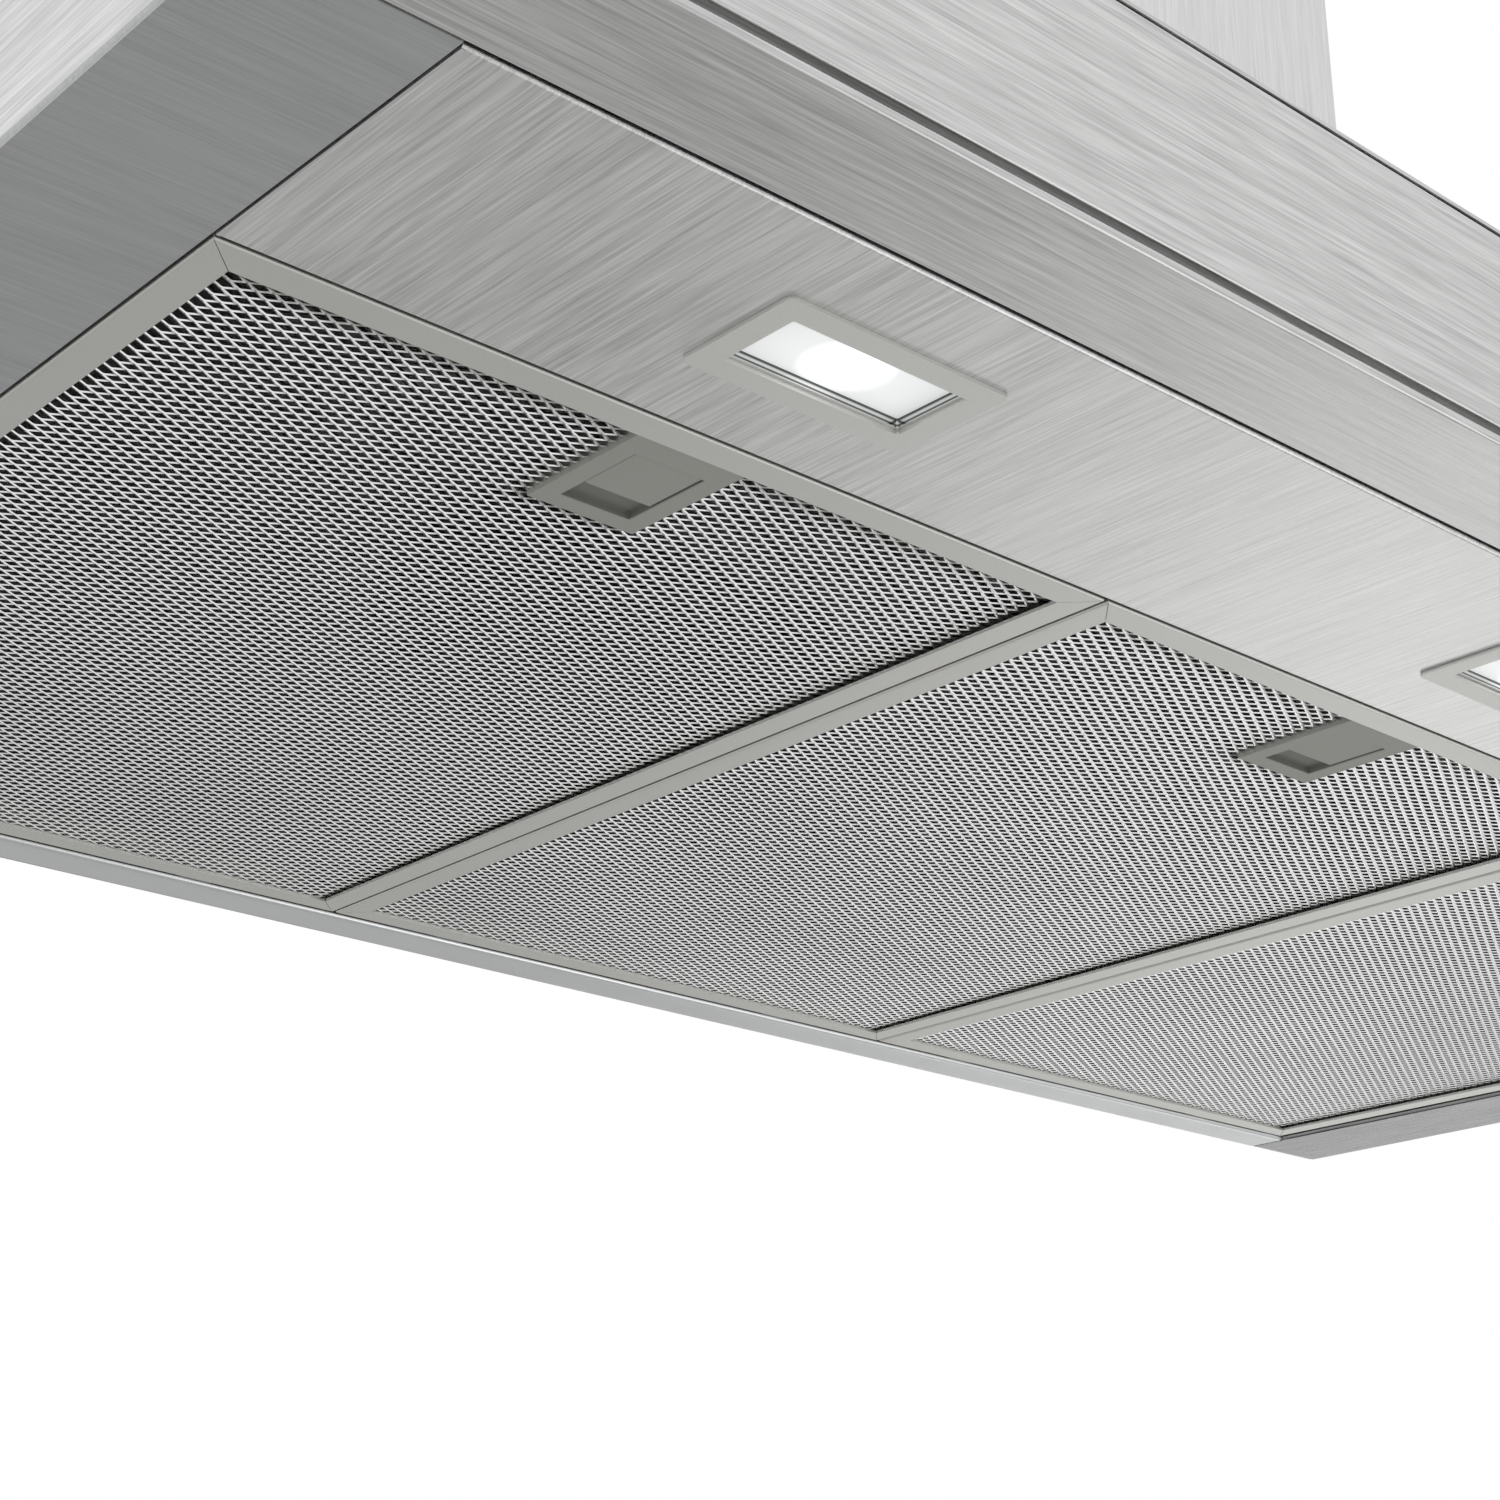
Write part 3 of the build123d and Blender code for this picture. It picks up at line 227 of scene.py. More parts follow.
class ScrewSettings(bpy.types.PropertyGroup):
    """Screws with a cross recess."""

    recess_length: length_property("Recess length", "Length of a recess's slots", 0.0038)
    recess_width: length_property("Recess width", "Width of a recess's slots", 0.0009)
    recess_depth: length_property("Recess depth", "Depth of a recess", 0.0013)
    softening: length_property("Softening", "Width of the rounded edges", 0.0003)
    head_area: FloatProperty(name="Head area", description="Least area of a screw head's flat end",
                             default=0.000035, precision=7, unit="AREA")


class LampSettings(bpy.types.PropertyGroup):
    """Lenses of the three lamps."""

    glow: colour_property("Glow", "Colour of the lit lens", (0.95, 0.975, 0.97))
    edge_light: factor_property("Edge light", "Light of the lens away from its middle", 0.42)
    middle_light: factor_property("Middle light", "Light of the lens over its diode", 0.95, 2.0)
    spot: length_property("Spot", "Radius of the bright middle", 0.0090)


class StageSettings(bpy.types.PropertyGroup):
    """Floor, light and camera."""

    floor_height: length_property("Floor height", "Height of the floor", -1.55)
    floor_radius: length_property("Floor radius", "Radius of the floor's disc", 13.86)
    floor_near: place_property("Near floor", "Middle of the floor's near part", (0.3, 0.0))
    floor_near_radius: length_property("Near radius", "Radius at which the near part ends", 3.9)
    floor_far: place_property("Far floor", "Middle of the floor's far part", (4.6, 4.6))
    floor_far_radius: length_property("Far radius", "Radius at which the far part ends", 6.3)
    floor_fade: length_property("Fade", "Width over which the floor fades out", 1.0)
    floor: colour_property("Floor", "Colour of the floor", (0.50, 0.50, 0.495))
    bolt_place: place_property("Wall bolts", "Place of a wall bolt, along X and Z", (0.130, 0.060))
    bolt_radius: length_property("Bolt radius", "Radius of a wall bolt's end", 0.0075)
    bolt_gap: length_property("Bolt gap", "Gap between the hood's back and the bolts' ends", 0.0010)
    sky: factor_property("Room light", "Strength of the even light from the room", 1.0, 2.0)
    side_power: power_property("Side light", "Power of the low light on the right", 10.5)
    edge_power: power_property("Edge light", "Power of the low light at the front right", 7.0)
    front_power: power_property("Front light", "Power of the light at the front left", 14.0)
    top_power: power_property("Top light", "Power of the light overhead", 8.0)
    camera_place: place_property("Camera", "Place of the camera", (-0.6308, -0.7976, -0.4446))
    camera_pitch: angle_property("Pitch", "How far the camera looks up", 20.85)
    camera_turn: angle_property("Turn", "How far the camera looks to the right", 41.67)
    lens: FloatProperty(name="Focal length", description="Focal length in millimetres", default=64.86,
                        min=1.0)


SETTINGS = {
    "hood_sheet": SheetSettings,
    "hood_filter": FilterSettings,
    "hood_net": NetSettings,
    "hood_plastic": PlasticSettings,
    "hood_screw": ScrewSettings,
    "hood_lamp": LampSettings,
    "hood_stage": StageSettings,
}


class Number:
    """Output of a node. Arithmetic on it adds Math nodes to its material."""

    def __init__(self, finish, socket):
        self.finish = finish
        self.socket = socket

    def _math(self, operation, *values):
        return self.finish.value("ShaderNodeMath", {"operation": operation}, dict(enumerate(values)))

    def __add__(self, other):
        return self._math("ADD", self, other)

    __radd__ = __add__

    def __sub__(self, other):
        return self._math("SUBTRACT", self, other)

    def __rsub__(self, other):
        return self._math("SUBTRACT", other, self)

    def __mul__(self, other):
        return self._math("MULTIPLY", self, other)

    __rmul__ = __mul__

    def __truediv__(self, other):
        return self._math("DIVIDE", self, other)

    def __rtruediv__(self, other):
        return self._math("DIVIDE", other, self)

    def __pow__(self, other):
        return self._math("POWER", self, other)

    def sine(self):
        """Sine of the number."""
        return self._math("SINE", self)

    def wrapped(self, low, high):
        """The number wrapped into a range."""
        return self._math("WRAP", self, high, low)

    def limited(self):
        """The number held between 0 and 1."""
        return self.finish.value("ShaderNodeClamp", {}, {0: self})


class Finish:
    """One material, built node by node."""

    def __init__(self, name):
        self.material = bpy.data.materials.new(name)
        self.material.use_nodes = True
        self.tree = self.material.node_tree
        self.tree.nodes.clear()
        self.place = None

    def node(self, kind, settings=None, sockets=None):
        """Adds a node, first with its settings and then with the values or links of its sockets."""
        node = self.tree.nodes.new(kind)
        for name, value in (settings or {}).items():
            setattr(node, name, value)
        for key, value in (sockets or {}).items():
            socket = node.inputs[key]
            if isinstance(value, Number):
                self.tree.links.new(value.socket, socket)
            else:
                socket.default_value = value
        return node

    def value(self, kind, settings=None, sockets=None, output=0):
        """Adds a node and returns one of its outputs."""
        return Number(self, self.node(kind, settings, sockets).outputs[output])

    def coordinates(self):
        """Object coordinates, from one node that the whole material shares."""
        if self.place is None:
            self.place = self.value("ShaderNodeTexCoord", output="Object")
        return self.place

    def stretched(self, scale, offset=0.0):
        """Object coordinates times a scale, which is one number or a number for each axis."""
        scale = (scale,) * 3 if isinstance(scale, float) else scale
        return self.value("ShaderNodeMapping", {}, {"Vector": self.coordinates(), "Scale": scale,
                                                     "Location": (offset,) * 3})

    def axes(self):
        """Object coordinates as three numbers."""
        split = self.node("ShaderNodeSeparateXYZ", {}, {0: self.coordinates()})
        return [Number(self, socket) for socket in split.outputs]

    def noise(self, scale, detail=2.0, roughness=0.5, offset=0.0):
        """Noise from 0 to 1. The scale says how fine it is, for each metre."""
        return self.value("ShaderNodeTexNoise", {}, {
            "Vector": self.stretched(scale, offset), "Scale": 1.0, "Detail": detail,
            "Roughness": roughness})

    def cells(self, scale, output):
        """Cells of a crystal pattern."""
        return self.value("ShaderNodeTexVoronoi", {}, {"Vector": self.stretched(scale), "Scale": 1.0},
                          output)

    def spread(self, number, low, high):
        """A number's middle range, from low to high, stretched to 0 to 1."""
        return ((number - low) / (high - low)).limited()

    def shade(self, colour, number):
        """A colour made lighter or darker by a number around 1."""
        grey = self.value("ShaderNodeCombineXYZ", {}, {0: number, 1: number, 2: number})
        return self.value("ShaderNodeVectorMath", {"operation": "MULTIPLY"}, {0: grey, 1: tuple(colour)})

    def mix(self, factor, first, second):
        """Two colours mixed by a factor."""
        return self.value("ShaderNodeMix", {"data_type": "RGBA"},
                          {0: factor, 6: (*first, 1.0), 7: (*second, 1.0)}, 2)

    def bump(self, height, distance):
        """Normal of a surface with small heights, in metres."""
        return self.value("ShaderNodeBump", {}, {"Height": height, "Distance": distance})

    def surface(self, **sockets):
        """Joins the shader to the output and returns the material."""
        named = {key.replace("_", " ").title(): (*value, 1.0) if isinstance(value, tuple) else value
                 for key, value in sockets.items()}
        shader = self.value("ShaderNodeBsdfPrincipled", {}, named)
        self.node("ShaderNodeOutputMaterial", {}, {"Surface": shader})
        return self.material


def distance(across, along):
    """Distance of a point from a centre, from its distances on two axes."""
    return (across * across + along * along) ** 0.5


def brushed(name, colour, along, roughness, grain):
    """Brushed sheet whose lines run along an axis, 0 to 2."""
    finish = Finish(name)

    def lines(width, length, detail, offset=0.0):
        scale = [1.0 / width] * 3
        scale[along] = 1.0 / length
        return finish.noise(tuple(scale), detail, 0.6, offset)

    fine = lines(width=0.00055, length=0.022, detail=1.0)
    long = lines(width=0.00130, length=0.060, detail=1.0, offset=7.3)
    broad = lines(width=0.0070, length=0.200, detail=2.0, offset=3.1)
    cloud = finish.noise(9.0, 3.0)
    streaks = finish.spread(fine, 0.30, 0.70) * 0.6 + finish.spread(long, 0.34, 0.66) * 0.4
    tone = 1.0 + (streaks - 0.5) * (0.42 * grain) + (broad - 0.5) * (0.10 * grain) + (cloud - 0.5) * 0.10
    rough = (streaks - 0.5) * 0.12 + (cloud - 0.5) * 0.10 + roughness
    normal = finish.bump(streaks, 0.000012 * (0.5 + grain))
    return finish.surface(base_color=finish.shade(colour, tone), metallic=1.0, roughness=rough.limited(),
                          normal=normal)


def smooth_sheet(name, colour, roughness=0.30):
    """Cold-rolled sheet: smooth, with a faint mottle and hardly any grain."""
    finish = Finish(name)
    mottle = finish.noise(60.0, 4.0)
    drawn = finish.noise((3.0, 420.0, 420.0), 2.0)
    tone = 1.0 + (mottle - 0.5) * 0.08 + (drawn - 0.5) * 0.10
    rough = (mottle - 0.5) * 0.14 + roughness
    return finish.surface(base_color=finish.shade(colour, tone), metallic=1.0, roughness=rough,
                          normal=finish.bump(drawn, 0.000006))


def zinc_coated(name, colour):
    """Zinc-coated sheet with its crystal pattern."""
    finish = Finish(name)
    facet = finish.value("ShaderNodeSeparateColor", {}, {0: finish.cells(95.0, "Color")})
    fine = finish.noise(700.0, 2.0)
    tone = 0.86 + facet * 0.26 + (fine - 0.5) * 0.10
    rough = 0.38 + facet * 0.16
    return finish.surface(base_color=finish.shade(colour, tone), metallic=1.0, roughness=rough,
                          normal=finish.bump(fine, 0.000010))


def satin_metal(name, colour, roughness, fineness=2600.0, metallic=1.0, depth=0.000008):
    """Satin metal with a fine even tooth."""
    finish = Finish(name)
    tooth = finish.noise(fineness, 2.0)
    cloud = finish.noise(14.0, 3.0)
    tone = 1.0 + (tooth - 0.5) * 0.10 + (cloud - 0.5) * 0.10
    rough = (cloud - 0.5) * 0.12 + roughness
    return finish.surface(base_color=finish.shade(colour, tone), metallic=metallic, roughness=rough,
                          normal=finish.bump(tooth, depth))


def moulded(name, colour, roughness, grain=0.00002):
    """Moulded plastic with a fine spark-eroded grain."""
    finish = Finish(name)
    spots = finish.cells(2100.0, "Distance")
    cloud = finish.noise(25.0, 3.0)
    tone = 1.0 + (cloud - 0.5) * 0.10 + (spots - 0.4) * 0.08
    rough = (cloud - 0.5) * 0.12 + (spots - 0.4) * 0.10 + roughness
    return finish.surface(base_color=finish.shade(colour, tone), roughness=rough,
                          normal=finish.bump(spots, grain))


def trim_with_painted_shade(name, colour, low, high, roughness=0.16):
    """Polished metal with faint wipe marks and two dark bands of painted shade between its lower rim and its
    ledge, standing in for the shade of groove lines that its flat wall doesn't have.
    """
    finish = Finish(name)
    wipe = finish.noise((300.0, 60.0, 300.0), 3.0)
    level = (finish.axes()[2] - low) / (high - low)
    # Painted shade: dark bands by height on the flat wall.
    painted_groove_shade = (finish.spread(level, 0.04, 0.16) - finish.spread(level, 0.28, 0.40)
               + finish.spread(level, 0.60, 0.75))
    tone = (1.0 - painted_groove_shade * 0.84) * (1.0 + (wipe - 0.5) * 0.06)
    rough = (wipe - 0.5) * 0.08 + roughness
    return finish.surface(base_color=finish.shade(colour, tone), metallic=1.0, roughness=rough)


def lit_lens(name, settings, centre, pitch):
    """Frosted lens, brightest over its diode. The lamps repeat at an even pitch along the hood."""
    finish = Finish(name)
    x, y, _ = finish.axes()
    radius = distance((x - centre.x).wrapped(-pitch / 2, pitch / 2), y - centre.y)
    spot = 1.0 - finish.spread(radius, settings.spot * 0.75, settings.spot * 1.35)
    halo = 1.0 - finish.spread(radius, settings.spot, settings.spot * 3.2)
    frost = finish.noise(1800.0, 2.0)
    light = (settings.edge_light + halo * 0.10 + spot * (settings.middle_light - settings.edge_light)
             + (frost - 0.5) * 0.03)
    return finish.surface(base_color=(0.62, 0.63, 0.64), roughness=0.45,
                          emission_color=finish.shade(settings.glow, light), emission_strength=1.0,
                          normal=finish.bump(frost, 0.00001))


def lacquered_motor(name):
    """Dark lacquered motor case with the fine lines of its sheet stack."""
    finish = Finish(name)
    sheet_waves = 5200.0
    stack = finish.spread((finish.axes()[0] * sheet_waves).sine(), -0.9, 0.9)
    cloud = finish.noise(40.0, 3.0)
    tone = 0.85 + stack * 0.22 + (cloud - 0.5) * 0.18
    return finish.surface(base_color=finish.shade((0.26, 0.27, 0.28), tone), metallic=0.8,
                          roughness=(cloud - 0.5) * 0.2 + 0.42, normal=finish.bump(stack, 0.00003))


def circuit_lacquer(name):
    """Green lacquer over copper tracks."""
    finish = Finish(name)
    tracks = finish.value("ShaderNodeTexBrick", {"offset": 0.37, "squash": 1.0}, {
        "Vector": finish.stretched(260.0), "Scale": 1.0, "Mortar Size": 0.06,
        "Brick Width": 1.9, "Row Height": 0.55, "Bias": 0.0, "Mortar Smooth": 0.2}, "Fac")
    cloud = finish.noise(120.0, 2.0)
    base = finish.mix(tracks, (0.016, 0.090, 0.035), (0.060, 0.210, 0.075))
    return finish.surface(base_color=base, roughness=(cloud - 0.5) * 0.1 + 0.28,
                          normal=finish.bump(tracks, 0.00003))


def rubber_like(name):
    """Matt black rubber."""
    finish = Finish(name)
    dust = finish.noise(900.0, 3.0)
    return finish.surface(base_color=finish.shade((0.022, 0.022, 0.023), 0.8 + dust * 0.5),
                          roughness=0.72 + dust * 0.15, normal=finish.bump(dust, 0.00003))


def turned_face(name, colour, centre, pitch):
    """Metal turned on a lathe about one centre of a row, which repeats at an even pitch along the hood."""
    finish = Finish(name)
    x, _, z = finish.axes()
    radius = distance((x - centre.x).wrapped(-pitch / 2, pitch / 2), z - centre.z)
    ring_waves = 21000.0
    rings = finish.spread((radius * ring_waves).sine(), -1.0, 1.0)
    cloud = finish.noise(60.0, 3.0)
    tone = 0.94 + rings * 0.10 + (cloud - 0.5) * 0.08
    return finish.surface(base_color=finish.shade(colour, tone), metallic=1.0,
                          roughness=(cloud - 0.5) * 0.12 + 0.30, normal=finish.bump(rings, 0.000012))


def finishes():
    """Every finish of the hood by its name: the function that makes it and the values it takes."""
    scene = bpy.context.scene
    sheet, nets, plastic = scene.hood_sheet, scene.hood_net, scene.hood_plastic
    faint_grain = sheet.grain * 0.5
    lens_low, lens_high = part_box("lamp_lens_centre")
    lens_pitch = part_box("lamp_lens_right")[0].x - lens_low.x
    button_low, button_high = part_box("button_off")
    button_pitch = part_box("button_low")[0].x - button_low.x
    return {
        # the darker painted shade copy of the steel, on faces brushed along the hood
        "steel_lengthwise": (brushed, sheet.lengthwise, 0, sheet.roughness, sheet.grain),
        "steel_front_to_back": (brushed, sheet.steel, 1, sheet.roughness, sheet.grain),
        "steel_upright": (brushed, sheet.steel, 2, sheet.roughness, faint_grain),
        "slope_lengthwise": (brushed, sheet.lengthwise, 0, sheet.roughness, faint_grain),
        "slope_front_to_back": (brushed, sheet.steel, 1, sheet.roughness, faint_grain),
        # darker painted shade copies of the steel on the two flanges
        "flange_steel": (brushed, sheet.flange, 0, sheet.roughness, faint_grain),
        "far_flange_steel": (brushed, sheet.far_flange, 1, sheet.far_roughness, sheet.grain),
        "strip_steel": (smooth_sheet, sheet.strip),
        "zinc_coated": (zinc_coated, sheet.zinc),
        "frame_aluminium": (satin_metal, scene.hood_filter.colour, 0.46),
        "net_aluminium": (satin_metal, nets.colour, nets.roughness, 900.0),
        # aluminium painted nearly black for the shade inside the filter
        "inner_net": (satin_metal, nets.core_shade_colour, 0.5, 900.0),
        "latch_plastic": (moulded, plastic.latch, 0.6),
        # darker copy of the latch plastic: painted shade inside the finger recesses
        "recess_plastic": (moulded, plastic.recess, 0.6),
        "bezel_paint": (satin_metal, plastic.bezel, 0.45, 2600.0, 0.6),
        "dark_plastic": (moulded, plastic.dark, 0.42),
        "pale_plastic": (moulded, plastic.pale, 0.32, 0.000008),
        # polished trim with bands of painted shade
        "bright_trim": (trim_with_painted_shade, (0.70, 0.70, 0.69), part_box("lamp_trims")[0].z, lens_low.z),
        "lit_lens": (lit_lens, scene.hood_lamp, (lens_low + lens_high) / 2, lens_pitch),
        "cast_aluminium": (satin_metal, (0.58, 0.59, 0.60), 0.52, 1200.0, 1.0, 0.00003),
        "diode_face": (moulded, (0.80, 0.74, 0.36), 0.3, 0.000005),
        "button_metal": (turned_face, (0.56, 0.56, 0.56), (button_low + button_high) / 2, button_pitch),
        "motor_case": (lacquered_motor,),
        "motor_cap": (satin_metal, (0.50, 0.51, 0.52), 0.40, 1500.0),
        "rubber": (rubber_like,),
        "circuit_board": (circuit_lacquer,),
        "relay_blue": (moulded, (0.03, 0.09, 0.30), 0.35, 0.000005),
        "spring_wire": (satin_metal, (0.52, 0.52, 0.52), 0.24, 3000.0),
        "screw_zinc": (satin_metal, (0.60, 0.61, 0.60), 0.30, 3500.0),
    }


def finish(name):
    """A finish, made once and then shared. Its own prefix keeps it apart from the frame's materials."""
    full = f"finish_{name}"
    made = bpy.data.materials.get(full)
    if not made:
        maker, *values = finishes()[name]
        made = maker(full, *values)
    return made


def only(piece):
    """Makes a piece the only selected and the active object."""
    bpy.ops.object.select_all(action="DESELECT")
    piece.select_set(True)
    bpy.context.view_layer.objects.active = piece


def add(name, data):
    """Adds an object to the scene."""
    thing = bpy.data.objects.new(name, data)
    bpy.context.scene.collection.objects.link(thing)
    return thing


def primitive(kind, name, **values):
    """Adds one of Blender's primitives, with nothing else selected."""
    bpy.ops.object.select_all(action="DESELECT")
    getattr(bpy.ops.mesh, f"primitive_{kind}_add")(**values)
    bpy.context.object.name = name
    return bpy.context.object


def edit(piece, kind="FACE", action="DESELECT"):
    """Opens a piece in edit mode, with nothing selected or, by SELECT, all of it."""
    only(piece)
    bpy.ops.object.mode_set(mode="EDIT")
    bpy.ops.mesh.select_mode(type=kind)
    bpy.ops.mesh.select_all(action=action)


def pick(piece, kind, wanted):
    """Selects, in edit mode, the faces or edges for which wanted is true."""
    bpy.ops.object.mode_set(mode="OBJECT")
    mesh = piece.data
    for group in (mesh.vertices, mesh.edges, mesh.polygons):
        group.foreach_set("select", [False] * len(group))
    for part in (mesh.polygons if kind == "FACE" else mesh.edges):
        if wanted(mesh, part):
            part.select = True
            for vertex in part.vertices:
                mesh.vertices[vertex].select = True
    bpy.ops.object.mode_set(mode="EDIT")


def close_edit():
    """Leaves edit mode."""
    bpy.ops.object.mode_set(mode="OBJECT")


def modify(piece, kind, **values):
    """Adds a modifier to a piece and applies it."""
    only(piece)
    modifier = piece.modifiers.new(kind.title(), kind)
    for key, value in values.items():
        setattr(modifier, key, value)
    bpy.ops.object.modifier_apply(modifier=modifier.name)


def repeat(piece, count, step, **values):
    """Copies a piece along a step, so that there are count of it."""
    modify(piece, "ARRAY", count=count, use_relative_offset=False, use_constant_offset=True,
           constant_offset_displace=step, **values)


def cut(piece, cutter):
    """Cuts a cutter's shape out of a piece and deletes the cutter."""
    modify(piece, "BOOLEAN", operation="DIFFERENCE", object=cutter, solver="EXACT")
    bpy.data.objects.remove(cutter)


def join(piece, other):
    """Joins another object's mesh to a piece."""
    only(piece)
    other.select_set(True)
    bpy.ops.object.join()


def smooth(piece, angle):
    """Shades a piece smooth, apart from edges beyond an angle."""
    only(piece)
    bpy.ops.object.shade_smooth_by_angle(angle=angle)


def soften(piece, width, segments=2):
    """Rounds a piece's sharp edges and shades it smooth between them."""
    modify(piece, "BEVEL", width=width, segments=segments, limit_method="ANGLE",
           angle_limit=SHARP, use_clamp_overlap=True, miter_outer="MITER_SHARP")
    smooth(piece, SMOOTH)
    modify(piece, "WEIGHTED_NORMAL", keep_sharp=True, weight=90)


def place_in_mesh(piece):
    """Puts a piece's place into its mesh, so that its object sits at the origin."""
    only(piece)
    bpy.ops.object.transform_apply(location=True, rotation=True, scale=True)


def dress(piece, names, choose=None):
    """Gives a piece its finishes. choose(face normal, face centre) returns the finish's number."""
    mesh = piece.data
    mesh.materials.clear()
    for name in names:
        mesh.materials.append(finish(name))
    if choose:
        for face in mesh.polygons:
            face.material_index = choose(face.normal, face.center)


def stand_for(piece, node):
    """Ties a piece to the node that it replaces."""
    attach(piece, frame["nodes"][node]["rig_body"])
    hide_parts(node)


def copied(node, name):
    """Copy of a node's mesh with its loose triangles joined into whole faces."""
    piece = add(name, frame["nodes"][node].data.copy())
    only(piece)
    bpy.ops.mesh.customdata_custom_splitnormals_clear()
    edit(piece, "VERT", "SELECT")
    bpy.ops.mesh.remove_doubles(threshold=MERGED)
    bpy.ops.mesh.dissolve_limited(angle_limit=EVEN)
    close_edit()
    return piece


def softened(node, names, width, choose=None, segments=2):
    """A node's copy with rounded edges and its finishes."""
    piece = copied(node, f"{node}_finished")
    soften(piece, width, segments)
    dress(piece, names, choose)
    stand_for(piece, node)


def faces_aside(normal, centre):
    """1 for faces that look to the left or right, otherwise 0."""
    return 1 if abs(normal.x) > ASIDE else 0


class HOOD_OT_canopy(bpy.types.Operator):
    """Softens the canopy's sheets and gives each face its grain"""

    bl_idname = "hood.canopy"
    bl_label = "Canopy"

    def execute(self, context):
        sheet = context.scene.hood_sheet
        steel = ["steel_lengthwise", "steel_front_to_back", "flange_steel", "far_flange_steel"]
        softened("canopy_shell", ["slope_lengthwise", "slope_front_to_back"],
                 sheet.softening, faces_aside)
        flange_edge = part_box("filter_frame_right")[1].x
        flange_top = UNDERSIDE + sheet.flange_height
        lip_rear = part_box("lamp_panel")[0].y

        # Gives the flanges' faces the darker painted shade copies of the steel.
        def rim(normal, centre):
            if abs(centre.x) > flange_edge and centre.z < flange_top and centre.y > lip_rear:
                return 3 if centre.x > 0 else 2
            return faces_aside(normal, centre)

        softened("canopy_rim", steel, sheet.softening, rim)
        softened("rear_wall", steel[:1], sheet.softening)
        softened("wall_plates", ["zinc_coated"], sheet.softening)
        return {"FINISHED"}


class HOOD_OT_underside(bpy.types.Operator):
    """Softens the rear strip and the lamp strip"""

    bl_idname = "hood.underside"
    bl_label = "Strips of the underside"

    def execute(self, context):
        sheet = context.scene.hood_sheet
        softened("rear_strip", ["strip_steel"], sheet.softening)
        softened("lamp_panel", ["steel_front_to_back"], sheet.softening)
        return {"FINISHED"}


class HOOD_OT_front(bpy.types.Operator):
    """Softens the front panel, its button frame, the buttons and their switches"""

    bl_idname = "hood.front"
    bl_label = "Front panel and buttons"

    def execute(self, context):
        sheet = context.scene.hood_sheet
        softened("front_panel", ["steel_lengthwise"], sheet.softening)
        softened("button_bezel", ["steel_lengthwise"], sheet.softening)
        for name in BUTTONS:
            softened(f"button_{name}", ["button_metal"], sheet.softening)
        softened("switch_block", ["dark_plastic"], context.scene.hood_plastic.softening)
        return {"FINISHED"}


class HOOD_OT_lamps(bpy.types.Operator):
    """Softens the lamps' bezels, bright frames, lit lenses and light modules"""

    bl_idname = "hood.lamps"
    bl_label = "Lamps"

    def execute(self, context):
        plastic = context.scene.hood_plastic
        module_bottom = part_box("lamp_modules")[0].z

        def module_face(normal, centre):
            return 1 if normal.z < DOWN and centre.z < module_bottom + HAIR else 0

        def lens_face(normal, centre):
            return 0 if normal.z < DOWN else 1

        for name in FILTERS:
            softened(f"lamp_bezel_{name}", ["bezel_paint"], plastic.softening)
            softened(f"lamp_lens_{name}", ["lit_lens", "bright_trim"], plastic.softening,
                     lens_face)
        softened("lamp_trims", ["bright_trim"], plastic.softening)
        softened("lamp_modules", ["cast_aluminium", "diode_face"], plastic.softening,
                 module_face)
        return {"FINISHED"}


def mitred_rails(name, low, high, settings):
    """Four rails of a channel frame, which meet in open mitres."""
    rail, setback = settings.rail - settings.setback, settings.setback
    width, depth = high.x - low.x - 2 * setback, settings.depth - 2 * setback
    middle = Vector(((low.x + high.x) / 2, low.y + settings.depth / 2, UNDERSIDE))
    piece = primitive("plane", name, size=1.0, location=middle)
    edit(piece, action="SELECT")
    bpy.ops.transform.resize(value=(width, depth, 1.0))
    bpy.ops.mesh.flip_normals()
    bpy.ops.mesh.inset(thickness=rail)
    bpy.ops.mesh.delete(type="FACE")

    def ends(mesh, part):
        return [mesh.vertices[vertex].co for vertex in part.vertices]

    def is_mitre(mesh, part):
        first, second = ends(mesh, part)
        return abs(first.x - second.x) > HAIR and abs(first.y - second.y) > HAIR

    def is_outer(mesh, part):
        points = ends(mesh, part)
        return (all(abs(point.x) > width / 2 - TOUCHING for point in points)
                or all(abs(point.y) > depth / 2 - TOUCHING for point in points))

    bpy.ops.mesh.select_mode(type="EDGE")
    pick(piece, "EDGE", is_mitre)
    bpy.ops.mesh.bevel(offset=settings.mitre / 2, offset_type="OFFSET", affect="EDGES")
    bpy.ops.mesh.select_mode(type="FACE")
    largest_gap = 4 * rail * settings.mitre
    pick(piece, "FACE", lambda mesh, face: face.area < largest_gap)
    bpy.ops.mesh.delete(type="FACE")
    bpy.ops.mesh.select_mode(type="EDGE")
    pick(piece, "EDGE", is_outer)
    bpy.ops.mesh.extrude_edges_move(TRANSFORM_OT_translate={"value": (0.0, 0.0, high.z - UNDERSIDE)})
    bpy.ops.mesh.extrude_edges_move(TRANSFORM_OT_translate={"value": (0.0, 0.0, 0.0)})
    shrink = (1.0 - 2 * rail / width, 1.0 - 2 * rail / depth, 1.0)
    bpy.ops.transform.resize(value=shrink, center_override=middle)
    pick(piece, "EDGE", lambda mesh, part: is_outer(mesh, part)
         and all(abs(point.z) < TOUCHING for point in ends(mesh, part)))
    bpy.ops.mesh.bevel(offset=settings.edge, offset_type="OFFSET", segments=3, affect="EDGES")
    close_edit()
    place_in_mesh(piece)
    modify(piece, "SOLIDIFY", thickness=settings.wall, offset=-1.0, use_even_offset=True)
    return piece


